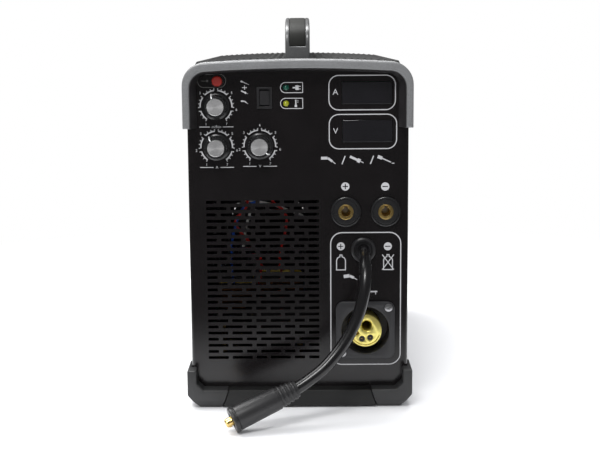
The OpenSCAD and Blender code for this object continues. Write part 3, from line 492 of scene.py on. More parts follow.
STEEL = Brushed("plain_steel", (0.46, 0.46, 0.47), 0.34, "steel", metallic=1.0, relief=0.000004)
ZINC = Spangled("zinc_sheet", (0.46, 0.47, 0.48), 0.38, "zinc_steel", metallic=0.85, relief=0.00001)
ALLOY = Brushed("cast_alloy", (0.56, 0.57, 0.58), 0.42, "aluminium", metallic=0.9, relief=0.00002,
                stretch=(300.0, 300.0, 300.0))
EXTRUDED = Brushed("extruded_aluminium", (0.62, 0.63, 0.65), 0.33, "aluminium", metallic=0.95,
                   relief=0.00001, stretch=(1500.0, 30.0, 1500.0))
BRASS = Brushed("drawn_brass", (0.78, 0.55, 0.20), 0.26, "brass", metallic=1.0, relief=0.000004,
                stretch=(1800.0, 40.0, 1800.0), tone=0.1)
CAP = Turned("turned_cap", (0.78, 0.775, 0.775), 0.26, "knob_cap", metallic=0.84, anisotropy=0.85,
             relief=0.000006, tone=0.1, smudge=0.02)
CORE = Turned("turned_brass_core", (1.0, 0.82, 0.25), 0.34, "brass", metallic=0.9, anisotropy=0.3,
              relief=0.00001, tone=0.12)
MASK_GREEN = Board("board_solder_mask", (0.012, 0.105, 0.042), 0.3, "circuit_board", coat=0.3,
                   relief=0.00001)
COPPER = Wound("enamelled_copper", (0.50, 0.19, 0.065), 0.3, "copper_core", metallic=0.8, coat=0.5,
               relief=0.0006, along=(0.0, 0.0, 1.0))
FERRITE = Finish("ferrite_core", (0.035, 0.034, 0.036), 0.6, "copper_core", relief=0.00003)
TAPE = Finish("yellow_tape", (0.62, 0.44, 0.05), 0.35, "copper_core", relief=0.00001, tone=0.2)
CAN_SLEEVE = Finish("capacitor_sleeve", (0.012, 0.014, 0.03), 0.3, "black_plastic", coat=0.3,
                    relief=0.000004)
WIRE_RED = Finish("red_wire", (0.48, 0.02, 0.014), 0.4, "red_plastic", relief=0.000006)
WIRE_BLUE = Finish("blue_wire", (0.02, 0.09, 0.42), 0.4, "circuit_board", relief=0.000006)
WIRE_WHITE = Finish("white_wire", (0.66, 0.65, 0.62), 0.45, "silver_plastic", relief=0.000006)
LEVER_RED = Finish("lever_red_plastic", (0.42, 0.02, 0.012), 0.35, "red_plastic", relief=0.00002)


# ---------------------------------------------------------------- the bench

def deselect() -> None:
    """Leave nothing selected, so that an operator acts only on what is picked next."""
    bpy.ops.object.select_all(action="DESELECT")


class Piece:
    """A new piece on the bench, shaped with Blender's own modelling operators."""

    def __init__(self, name: str) -> None:
        """Take the active object as the piece."""
        self.obj = bpy.context.object
        self.obj.name = name
        self.obj.data.name = name

    # -- starting

    @classmethod
    def block(cls, name: str, low: Triple, high: Triple) -> "Piece":
        """Start from a cube between two corners in millimetres."""
        deselect()
        low, high = Vector(low), Vector(high)
        bpy.ops.mesh.primitive_cube_add(size=MM, location=(low + high) / 2 * MM, scale=high - low)
        piece = cls(name)
        return piece.settle()

    @classmethod
    def lathe(cls, name: str, profile: Sequence[Pair], origin: Triple, way: Vector,
              steps: int = ROUND) -> "Piece":
        """Spin a profile into a round piece.

        Args:
            name: The piece's name.
            profile: Radius and height of each point, in millimetres, ending on the axis or where it starts.
            origin: Where height 0 lies on the axis.
            way: The direction of growing height.
            steps: Sides of the round piece.

        Returns:
            The piece.
        """
        deselect()
        bpy.ops.mesh.primitive_plane_add(size=MM)
        piece = cls(name)
        with piece.edit():
            bpy.ops.mesh.merge(type="CENTER")
            bpy.ops.transform.translate(value=mm(profile[0][0], 0, profile[0][1]))
            for (r0, h0), (r1, h1) in zip(profile, profile[1:]):
                bpy.ops.mesh.extrude_region_move(TRANSFORM_OT_translate={"value": mm(r1 - r0, 0, h1 - h0)})
            bpy.ops.mesh.select_all(action="SELECT")
            bpy.ops.mesh.spin(steps=steps, angle=FULL_TURN, center=(0, 0, 0), axis=(0, 0, 1))
        piece.clean()
        piece.obj.matrix_world = placed(origin, way)
        return piece.settle()

    @classmethod
    def flat(cls, name: str, loops: Sequence[Loop], thick: float, turn: Matrix) -> "Piece":
        """Start from filled outlines, given thickness and turned into place.

        Args:
            name: The piece's name.
            loops: Closed outlines in X and Y, in millimetres. One inside another is a hole.
            thick: Thickness along Z, on both sides of the outline.
            turn: The matrix that puts the piece in place.

        Returns:
            The piece.
        """
        deselect()
        curve = bpy.data.curves.new(name, "CURVE")
        curve.dimensions = "2D"
        curve.fill_mode = "BOTH"
        curve.extrude = thick / 2 * MM
        for loop in loops:
            spline = curve.splines.new("POLY")
            spline.points.add(len(loop) - 1)
            for point, (x, y) in zip(spline.points, loop):
                point.co = (x * MM, y * MM, 0, 1)
            spline.use_cyclic_u = True
        return cls.converted(name, curve, turn)

    @classmethod
    def words(cls, name: str, text: str, size: float, turn: Matrix, thick: float) -> "Piece":
        """Start from a number or a unit's sign as a solid, centred on its place."""
        curve = bpy.data.curves.new(name, "FONT")
        curve.body = text
        curve.size = size * MM
        curve.align_x, curve.align_y = "CENTER", "CENTER"
        curve.extrude = thick / 2 * MM
        return cls.converted(name, curve, turn)

    @classmethod
    def converted(cls, name: str, curve: bpy.types.Curve, turn: Matrix) -> "Piece":
        """Turn a curve or text into a mesh, and only then put it in its place."""
        deselect()
        obj = bpy.data.objects.new(name, curve)
        bpy.context.scene.collection.objects.link(obj)
        bpy.context.view_layer.objects.active = obj
        obj.select_set(True)
        bpy.ops.object.convert(target="MESH")
        piece = cls(name)
        piece.clean()
        piece.obj.matrix_world = turn
        return piece.settle()

    @classmethod
    def wire(cls, name: str, points: Sequence[Triple], radius: float) -> "Piece":
        """Start from a round wire through points in millimetres, with round bends."""
        curve = smooth_curve(name, points, radius, WIRE_STEPS, WIRE_STEPS)
        return cls.converted(name, curve, Matrix.Identity(4))

    @classmethod
    def of_node(cls, name: str, node: str, angle: float = 1.0) -> "Piece":
        """Start from a merged copy of a CAD node, with its flat faces joined."""
        deselect()
        obj = bpy.data.objects.new(name, frame["nodes"][node].data.copy())
        bpy.context.scene.collection.objects.link(obj)
        bpy.context.view_layer.objects.active = obj
        obj.select_set(True)
        bpy.ops.mesh.customdata_custom_splitnormals_clear()
        piece = cls(name)
        with piece.edit():
            bpy.ops.mesh.remove_doubles(threshold=MERGE)
            bpy.ops.mesh.dissolve_limited(angle_limit=math.radians(angle))
        return piece

    # -- handling

    def alone(self) -> None:
        """Make this the only selected object, and the active one."""
        deselect()
        bpy.context.view_layer.objects.active = self.obj
        self.obj.select_set(True)

    def settle(self) -> "Piece":
        """Put the object's place and turn into its mesh."""
        self.alone()
        bpy.ops.object.transform_apply(location=True, rotation=True, scale=True)
        return self

    @contextmanager
    def edit(self) -> Iterator[None]:
        """Hold the piece in edit mode with everything selected."""
        self.alone()
        bpy.ops.object.mode_set(mode="EDIT")
        bpy.ops.mesh.select_mode(type="VERT")
        bpy.ops.mesh.select_all(action="SELECT")
        try:
            yield
        finally:
            bpy.ops.object.mode_set(mode="OBJECT")

    def clean(self) -> "Piece":
        """Merge doubles and turn the faces outward."""
        with self.edit():
            bpy.ops.mesh.remove_doubles(threshold=DOUBLE)
            bpy.ops.mesh.normals_make_consistent(inside=False)
        return self

    def pick(self, kind: str, keep: Callable[[Vector], bool]) -> None:
        """In edit mode, select vertices, edges or faces by their middle in millimetres.

        Args:
            kind: "VERT", "EDGE" or "FACE".
            keep: True for what is picked.
        """
        bpy.ops.mesh.select_mode(type=kind)
        bpy.ops.mesh.select_all(action="DESELECT")
        mesh = bmesh.from_edit_mesh(self.obj.data)
        for item in {"VERT": mesh.verts, "EDGE": mesh.edges, "FACE": mesh.faces}[kind]:
            if kind == "VERT":
                centre = item.co
            elif kind == "EDGE":
                centre = (item.verts[0].co + item.verts[1].co) / 2
            else:
                centre = item.calc_center_median()
            item.select_set(bool(keep(centre / MM)))
        mesh.select_flush_mode()
        bmesh.update_edit_mesh(self.obj.data)

    def place(self, matrix: Matrix) -> "Piece":
        """Move and turn the piece."""
        self.obj.matrix_world = matrix
        return self.settle()

    def copy(self, name: str, matrix: Matrix) -> "Piece":
        """Return a moved and turned copy with its own mesh."""
        deselect()
        obj = self.obj.copy()
        obj.data = self.obj.data.copy()
        bpy.context.scene.collection.objects.link(obj)
        bpy.context.view_layer.objects.active = obj
        obj.select_set(True)
        return Piece(name).place(matrix)

    def named(self, name: str) -> "Piece":
        """Give the piece another name."""
        self.obj.name = name
        return self

    def scrap(self) -> None:
        """Take the piece off the bench."""
        bpy.data.objects.remove(self.obj)

    def join(self, *others: "Piece") -> "Piece":
        """Make the others part of this piece."""
        self.alone()
        for other in others:
            other.obj.select_set(True)
        bpy.ops.object.join()
        return self

    # -- shaping

    def modifier(self, kind: str, **settings: object) -> "Piece":
        """Add a modifier and apply it."""
        self.alone()
        made = self.obj.modifiers.new(kind, kind)
        for key, value in settings.items():
            setattr(made, key, value)
        bpy.ops.object.modifier_apply(modifier=made.name)
        return self

    def soften(self, width: float, segments: int = 3, angle: float = 32.0) -> "Piece":
        """Round the edges sharper than an angle, to a width in millimetres."""
        self.modifier("BEVEL", width=width * MM, segments=segments, limit_method="ANGLE",
                      angle_limit=math.radians(angle), use_clamp_overlap=False)
        return self.smooth()

    def smooth(self, angle: float = 35.0) -> "Piece":
        """Shade smooth over edges that are less sharp than an angle."""
        self.alone()
        bpy.ops.object.shade_smooth_by_angle(angle=math.radians(angle))
        return self

    def cut(self, *tools: "Piece") -> "Piece":
        """Cut the shapes of other pieces out of this one."""
        for tool in tools:
            self.modifier("BOOLEAN", object=tool.obj, operation="DIFFERENCE", solver="EXACT")
            tool.scrap()
        return self

    # -- finishing

    def done(self, finish: Finish, body: str = "case", *nodes: str) -> "Piece":
        """Give the piece its finish and its body.

        Args:
            finish: Its finish.
            body: The CAD body that it rides on.
            nodes: CAD nodes that it stands for.

        Returns:
            The piece.
        """
        self.obj.data.materials.clear()
        self.obj.data.materials.append(finish.material())
        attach(self.obj, body)
        if nodes:
            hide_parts(*nodes)
        log.info("%s: %d faces, on %s", self.obj.name, len(self.obj.data.polygons), body)
        return self


def smooth_curve(name: str, points: Sequence[Triple], radius: float, steps: int, round_steps: int
                 ) -> bpy.types.Curve:
    """Return a round curve through points, with the same bends as the CAD's own cord.

    Args:
        name: The curve's name.
        points: Places in millimetres.
        radius: Radius in millimetres.
        steps: Steps between two points.
        round_steps: Steps round a quarter of the section.

    Returns:
        The curve, with Bezier handles a sixth of the way along each point's neighbours.
    """
    curve = bpy.data.curves.new(name, "CURVE")
    curve.dimensions = "3D"
    curve.bevel_depth = radius * MM
    curve.bevel_resolution = round_steps
    curve.resolution_u = steps
    curve.use_fill_caps = True
    spline = curve.splines.new("BEZIER")
    spline.bezier_points.add(len(points) - 1)
    places = [mm(*p) for p in points]
    for i, (knot, place) in enumerate(zip(spline.bezier_points, places)):
        reach = (places[min(i + 1, len(places) - 1)] - places[max(i - 1, 0)]) / HANDLE_PART
        knot.co, knot.handle_left, knot.handle_right = place, place - reach, place + reach
    return curve


def lifted(profile: Profile, by: float) -> list[tuple[float, float]]:
    """Return a profile with its heights raised."""
    return [(radius, height + by) for radius, height in profile]


@dataclass(frozen=True)
class Trim:
    """A CAD node whose shape is kept but for rounded edges, of a width in millimetres."""

    node: str
    name: str
    finish: Finish
    width: float
    body: str = "case"
    segments: int = 3
    angle: float = 32.0

    def build(self) -> None:
        """Make the rounded copy that stands for the node."""
        copy = Piece.of_node(self.name, self.node).soften(self.width, self.segments, self.angle)
        copy.done(self.finish, self.body, self.node)


@dataclass
class Assembly:
    """A sub-assembly, with the CAD nodes of it whose shape is kept."""

    trims: tuple[Trim, ...] = ()

    def build(self) -> None:
        """Make the trims."""
        for trim in self.trims:
            trim.build()


def dress(finish: Finish, *nodes: str) -> None:
    """Give CAD nodes whose shape is right their finish."""
    for node in nodes:
        for slot in frame["nodes"][node].material_slots:
            slot.material = finish.material()
        log.info("%s: CAD shape, %s", node, finish.name)


# ---------------------------------------------------------------- studio

@dataclass(frozen=True)
class SoftBox:
    """A rectangular light: its place, aim and size in millimetres, and its power in watts."""

    name: str
    at: Triple
    aim: Triple
    size: Pair
    power: float

    def hang(self) -> None:
        """Hang the light."""
        data = bpy.data.lights.new(self.name, "AREA")
        data.shape = "RECTANGLE"
        data.size, data.size_y = (side * MM for side in self.size)
        data.energy = self.power
        light = bpy.data.objects.new(self.name, data)
        line = mm(*self.aim) - mm(*self.at)
        turn = line.to_track_quat("-Z", "Y").to_matrix().to_4x4()
        light.matrix_world = Matrix.Translation(mm(*self.at)) @ turn
        bpy.context.scene.collection.objects.link(light)


@dataclass
class Studio:
    """The camera, the pale floor and the soft lights.

    The floor fades into the backdrop between fade_near and fade_far, and its mirror image in the
    machine goes dim between mirror_near and mirror_far, all in metres from the origin.
    """

    camera_at: Triple = (1.3, -1462.0, 374.4)
    pitch: float = 81.3
    roll: float = -0.4
    lens: float = 73.8
    sensor: float = 36.0
    far_clip: float = 60.0
    floor_size: float = 16000.0
    fade_near: float = 0.35
    fade_far: float = 0.95
    mirror_near: float = 0.36
    mirror_far: float = 0.60
    surround: float = 0.10
    white: Colour4 = (1.0, 1.0, 1.0, 1.0)
    floor_tone: Colour4 = (0.86, 0.86, 0.87, 1.0)
    sky_tone: Colour4 = (0.74, 0.75, 0.77, 1.0)
    boxes: tuple[SoftBox, ...] = (
        SoftBox("left_box", (-800, 350, 1700), (0, -200, 150), (1500, 1100), 30.0),
        SoftBox("front_box", (-350, -1500, 1700), (0, -200, 150), (700, 400), 20.0),
        SoftBox("top_box", (0, 420, 1900), (0, 0, 0), (1300, 900), 30.0))

    def camera(self) -> None:
        """Set the camera at its place before the machine."""
        data = bpy.data.cameras.new("camera")
        data.lens = self.lens
        data.sensor_width = self.sensor
        data.clip_end = self.far_clip
        camera = bpy.data.objects.new("camera", data)
        turn = (Matrix.Rotation(math.radians(self.pitch), 4, "X")
                @ Matrix.Rotation(math.radians(self.roll), 4, "Z"))
        camera.matrix_world = Matrix.Translation(mm(*self.camera_at)) @ turn
        bpy.context.scene.collection.objects.link(camera)
        bpy.context.scene.camera = camera

    def floor(self) -> None:
        """Lay the pale floor, which fades into the backdrop further out."""
        deselect()
        bpy.ops.mesh.primitive_plane_add(size=self.floor_size * MM)
        floor = Piece("floor").obj
        material = bpy.data.materials.new("pale_floor")
        material.use_nodes = True
        graph = Graph(material.node_tree)
        reach = graph.node("VectorMath", {0: graph.place()}, operation="LENGTH").outputs["Value"]

        def ramp(near: float, far: float) -> bpy.types.NodeSocket:
            """Return a value that grows from 0 to 1 between two distances."""
            made = graph.node("MapRange", {"Value": reach, "From Min": near, "From Max": far})
            return made.outputs["Result"]

        def mix(*inputs: bpy.types.NodeSocket) -> bpy.types.NodeSocket:
            """Return the mix of two shaders, with its factor first."""
            return graph.node("MixShader", dict(enumerate(inputs))).outputs[0]

        fade, dim = ramp(self.fade_near, self.fade_far), ramp(self.mirror_near, self.mirror_far)
        path = graph.node("LightPath").outputs
        matt = graph.node("BsdfDiffuse", {"Color": self.floor_tone}).outputs[0]
        glow = graph.node("Emission", {"Color": self.white, "Strength": 1.0}).outputs[0]
        dark = graph.node("Emission", {"Color": self.white, "Strength": self.surround}).outputs[0]
        glossy = mix(path["Is Glossy Ray"], matt, mix(dim, matt, dark))
        both = mix(path["Is Camera Ray"], glossy, mix(fade, matt, glow))
        graph.node("OutputMaterial", {"Surface": both})
        floor.data.materials.append(material)

    def world(self) -> None:
        """Make the surroundings white to look at, soft in their light and dim in reflections."""
        world = bpy.data.worlds.new("studio")
        bpy.context.scene.world = world
        world.use_nodes = True
        graph = Graph(world.node_tree)
        path = graph.node("LightPath").outputs
        soft = graph.node("MixRGB", {"Fac": path["Is Glossy Ray"], "Color1": self.sky_tone,
                                     "Color2": (self.surround,) * 3 + (1.0,)})
        seen = graph.node("MixRGB", {"Fac": path["Is Camera Ray"], "Color1": soft.outputs["Color"],
                                     "Color2": self.white})
        glow = graph.node("Background", {"Color": seen.outputs["Color"], "Strength": 1.0})
        graph.node("OutputWorld", {"Surface": glow.outputs[0]})

    def build(self) -> None:
        """Set up the whole studio."""
        bpy.context.scene.view_settings.view_transform = "Standard"
        self.camera()
        self.floor()
        self.world()
        for box in self.boxes:
            box.hang()


# ---------------------------------------------------------------- changeover lead

@dataclass
class ChangeoverLead:
    """The free lead from its gland to the plug that lies on the floor before the machine.

    A profile holds radius and height pairs. The tail's and the ribs' heights are measured from the
    tail, the barrel's from the end of the boot, those of the collar, slot, pin and nib from the
    rim, and the gland's from the panel.
    """

    route: tuple[Triple, ...] = (
        (65.3, -234, 160.6), (65.3, -238, 160.6), (65.4, -249, 159.2), (65.6, -259, 155),
        (65.6, -267.7, 148.3), (65.3, -274.4, 139.6), (64.2, -278.8, 129.5), (62, -281, 118.5),
        (59, -282.5, 107.5), (54, -285, 95.5), (46.5, -289, 82), (36.5, -294, 68.5),
        (23.5, -300, 55.3), (9.5, -305, 45.3), (-2, -309, 38.5), (-7, -311, 36.2))
    diameter: float = 12.0
    length_steps: int = 12
    steps: int = 8
    round_steps: int = 7
    tail: Triple = (-2.5, -309.2, 38.0)
    rim: Triple = (-64.8, -329.0, 12.3)
    sides: int = 64
    tail_end: Profile = ((0, 0.2), (7.4, 0.2), (8.1, 0.7))
    ribs: int = 4
    rib_first: float = 3.0
    rib_step: float = 4.6
    rib_r: float = 9.3
    rib_grows: float = 0.45
    rib: Profile = ((-0.4, 0), (0, 0.5), (0, 2.1), (-0.4, 2.6))
    neck_r: float = 8.1
    neck_grows: float = 2.0
    neck_rise: float = 0.25
    neck: Pair = (-0.3, 2.9)
    boot_len: float = 21.0
    barrel: Profile = ((10.2, 0), (10.9, 0.2), (11.2, 1.0))
    collar: Profile = ((12.0, -5.2), (11.3, -4.7), (11.3, -4.0), (12.5, -3.9), (12.8, -3.5), (12.8, -0.9),
                       (12.0, -0.1), (7.45, 0), (7.05, -0.4), (7.05, -14.0), (0, -14.0))
    slot: tuple[Triple, Triple] = ((11.0, -0.45, -29.2), (12.6, 0.45, -5.2))
    slot_turn: float = 205.0
    brass: Profile = ((0, -13.9), (7.0, -13.9), (7.0, -2.2), (6.7, -1.9), (4.5, -1.9), (4.5, 5.8),
                      (3.3, 7.0), (0, 7.0))
    nib: tuple[Triple, Triple] = ((-1.3, 0, 1.5), (1.3, 5.8, 4.5))
    nib_turn: float = 90.0
    nib_edge: float = 0.4
    ring: Profile = ((0, -18), (9, -18), (9, 0), (12.8, 0), (12.8, 3.0), (12.3, 4.2), (11.2, 5.0),
                     (9.6, 5.0), (8.8, 4.3), (8.5, 2.2), (6.4, 2.0), (0, 2.0))

    @property
    def axis(self) -> Vector:
        """Return the plug's direction, from tail to rim."""
        return (Vector(self.rim) - Vector(self.tail)).normalized()

    @property
    def full(self) -> float:
        """Return the length of the plug's sleeve."""
        return (Vector(self.rim) - Vector(self.tail)).length

    @property
    def length(self) -> float:
        """Return the length of the lead's centre line, a Catmull-Rom curve, in millimetres."""
        last = len(self.route) - 1
        points = []
        for i in range(last):
            a, b, c, d = (Vector(self.route[min(max(k, 0), last)]) for k in range(i - 1, i + 3))
            for k in range(self.length_steps):
                t = k / self.length_steps
                points.append(0.5 * (2 * b + (c - a) * t + (2 * a - 5 * b + 4 * c - d) * t ** 2
                                     + (3 * b - a - 3 * c + d) * t ** 3))
        points.append(Vector(self.route[-1]))
        return sum((q - p).length for p, q in zip(points, points[1:]))

    def on_plug(self, name: str, corners: tuple[Triple, Triple], turn: float, edge: float = 0.0) -> Piece:
        """Return a block whose heights are measured from the rim, turned round the plug's axis."""
        rise = Vector((0, 0, self.full))
        block = Piece.block(name, Vector(corners[0]) + rise, Vector(corners[1]) + rise)
        if edge:
            block.soften(edge)
        return block.place(placed(self.tail, self.axis) @ Matrix.Rotation(math.radians(turn), 4, "Z"))

    def sleeve(self) -> Piece:
        """Make the plug's rubber sleeve, with its ribbed boot, collar and moulded line."""
        profile = list(self.tail_end)
        for k in range(self.ribs):
            low, radius = self.rib_first + k * self.rib_step, self.rib_r + self.rib_grows * k
            neck = self.neck_r + self.neck_grows * low / self.boot_len
            profile += [(neck, low + self.neck[0]), *((radius + r, low + h) for r, h in self.rib),
                        (neck + self.neck_rise, low + self.neck[1])]
        profile += lifted(self.barrel, self.boot_len) + lifted(self.collar, self.full)
        sleeve = Piece.lathe("lead_plug_grip", profile, self.tail, self.axis, self.sides)
        sleeve.cut(self.on_plug("slot", self.slot, self.slot_turn))
        return sleeve.smooth(EVEN).done(SLEEVE, "case", "lead_plug_sleeve")

    def pin(self) -> Piece:
        """Make the brass pin with its bayonet nib."""
        pin = Piece.lathe("lead_plug_brass", lifted(self.brass, self.full), self.tail, self.axis)
        pin.join(self.on_plug("nib", self.nib, self.nib_turn, self.nib_edge))
        return pin.smooth().done(BRASS, "case", "lead_plug_pin")

    def gland(self) -> Piece:
        """Make the round gland that the lead leaves the panel through."""
        x, _, z = self.route[0]
        ring = Piece.lathe("lead_gland_ring", self.ring, (x, FRONT_Y, z), Way.FRONT.vector, self.sides)
        return ring.smooth(CRISP).done(SATIN, "case", "lead_gland")

    def build(self) -> None:
        sleeve, pin = self.sleeve(), self.pin()
        self.gland()
        curve = smooth_curve("changeover_lead", self.route, self.diameter / 2, self.steps, self.round_steps)
        lead = bpy.data.objects.new("changeover_lead", curve)
        bpy.context.scene.collection.objects.link(lead)
        curve.materials.append(CABLE.material())
        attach(lead, "case")
        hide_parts("lead_cable")
        self.length * MM
        log.info("changeover_lead: %.0f mm long", self.length)


# ---------------------------------------------------------------- print on the front panel

def dial(centre: Pair, radius: float, angle: float) -> tuple[float, float]:
    """Return the point at a radius and an angle clockwise from the top, in degrees."""
    turn = math.radians(angle)
    return centre[0] + radius * math.sin(turn), centre[1] + radius * math.cos(turn)


def panel_turn(out: float) -> Matrix:
    """Return the matrix that stands a flat piece up in the panel's plane, so far in front of it."""
    return Matrix.Translation(mm(0, FRONT_Y - out, 0)) @ Matrix.Rotation(math.pi / 2, 4, "X")


class Sign(Enum):
    """A generic pictogram as bars: two ends and a width each."""

    STICK = ((-8.5, 3.4, -4.2, 1.5, 3.2), (-4.2, 1.5, 4.4, -2.4, 1.1), (5.2, -3.4, 7.8, -3.4, 0.8))
    TUNGSTEN = ((-8.0, 3.4, -0.6, 0.0, 2.4), (-0.6, 0.0, 2.2, -1.3, 4.0), (2.2, -1.3, 5.4, -2.8, 0.7))
    WIRE = ((-8.5, 2.0, -2.0, 2.0, 2.8), (-1.6, 2.0, 2.6, -1.2, 2.2), (2.6, -1.2, 5.8, -3.6, 0.7))
    PLUG = ((-3.4, 0.0, -0.65, 0.0, 1.4), (-0.6, 0.0, 2.6, 0.0, 4.6), (2.7, 1.3, 4.6, 1.3, 0.8),
            (2.7, -1.3, 4.6, -1.3, 0.8))
    HEAT = ((0.0, 3.6, 0.0, -1.3, 1.3), (0.0, -1.4, 0.0, -3.6, 2.4), (1.4, 2.6, 2.6, 2.6, 0.5),
            (1.4, 1.2, 2.6, 1.2, 0.5))
    FEED = ((-3.4, 0.0, 1.2, 0.0, 0.7), (1.3, 0.0, 3.4, 0.0, 2.2))
    GUN = ((-7.0, 1.8, -1.0, 2.6, 3.4), (-0.8, 2.5, 3.4, 0.4, 2.6), (3.6, 0.3, 6.6, -1.6, 0.8))
    BENCH = ((-5.4, 0.0, 5.4, 0.0, 1.5), (-3.6, -0.8, -3.6, -3.0, 0.8), (3.6, -0.8, 3.6, -3.0, 0.8))


@dataclass
class Stencil:
    """Outlines in X and Z that are printed together. One inside another is a hole."""

    steps: int = 8
    disc_steps: int = 32
    least_round: float = 0.05
    sign_arm: float = 0.66
    sign_half: float = 0.12
    bottle_outer: Profile = ((1.5, 8.2), (1.5, 6.2), (3.8, 5.0), (5.0, 2.4), (5.0, -8.2))
    bottle_inner: Profile = ((0.6, 7.2), (0.6, 5.6), (3.2, 4.2), (4.0, 2.0), (4.0, -7.2))
    loops: list[Loop] = field(default_factory=list)

    def outline(self, at: Pair, loop: Sequence[Pair]) -> None:
        """Add a closed outline round a place."""
        self.loops.append([(at[0] + x, at[1] + z) for x, z in loop])

    def disc(self, centre: Pair, radius: float) -> None:
        """Add a disc."""
        turns = (4 * QUARTER * k / self.disc_steps for k in range(self.disc_steps))
        self.loops.append([dial(centre, radius, turn) for turn in turns])

    def arc(self, centre: Pair, radii: Pair, angles: Pair) -> None:
        """Add a band between two radii and two angles."""
        turns = [angles[0] + (angles[1] - angles[0]) * k / self.steps for k in range(self.steps + 1)]
        self.loops.append([dial(centre, radii[1], a) for a in turns]
                          + [dial(centre, radii[0], a) for a in reversed(turns)])

    def bar(self, x0: float, z0: float, x1: float, z1: float, width: float) -> None:
        """Add a straight bar between two points."""
        line = Vector((x1 - x0, z1 - z0)).normalized() * width / 2
        side = Vector((-line.y, line.x))
        self.loops.append([(x0 + side.x, z0 + side.y), (x0 - side.x, z0 - side.y),
                           (x1 - side.x, z1 - side.y), (x1 + side.x, z1 + side.y)])

    def box(self, low: Pair, high: Pair, radii: Pair) -> None:
        """Add a box whose left and right corners have their own radii."""
        left, right = radii
        loop: Loop = []
        for i, (sx, sz) in enumerate(((1, 1), (1, -1), (-1, -1), (-1, 1))):
            radius = right if sx > 0 else left
            x = high[0] - radius if sx > 0 else low[0] + radius
            z = high[1] - radius if sz > 0 else low[1] + radius
            loop += [dial((x, z), radius, QUARTER * (i + k / self.steps)) for k in range(self.steps + 1)]
        self.loops.append(loop)

    def frame(self, low: Pair, high: Pair, radii: Pair, width: float) -> None:
        """Add the line round a box."""
        self.box(low, high, radii)
        self.box((low[0] + width, low[1] + width), (high[0] - width, high[1] - width),
                 tuple(max(radius - width, self.least_round) for radius in radii))

    def sign(self, sign: Sign, at: Pair, size: float = 1.0) -> None:
        """Add a pictogram at a place."""
        x, z = at
        for x0, z0, x1, z1, width in sign.value:
            self.bar(x + x0 * size, z + z0 * size, x + x1 * size, z + z1 * size, width * size)

    def polarity(self, at: Pair, radius: float, plus: bool) -> None:
        """Add a disc with a plus or a minus left open in it."""
        self.disc(at, radius)
        arm, half = radius * self.sign_arm, radius * self.sign_half
        corner = [(half, arm), (half, half)] if plus else []
        corner += [(arm, half), (arm, -half)]
        corner += [(half, -half), (half, -arm)] if plus else []
        self.outline(at, corner + [(-x, z) for x, z in reversed(corner)])

    def bottle(self, at: Pair) -> None:
        """Add the outline of a gas bottle."""
        for side in (list(self.bottle_outer), list(self.bottle_inner)):
            self.outline(at, side + [(-x, z) for x, z in reversed(side)])

    def cut(self, name: str, thick: float) -> Piece:
        """Return the outlines as a thin solid on the panel."""
        return Piece.flat(name, self.loops, thick, panel_turn(thick / 2))


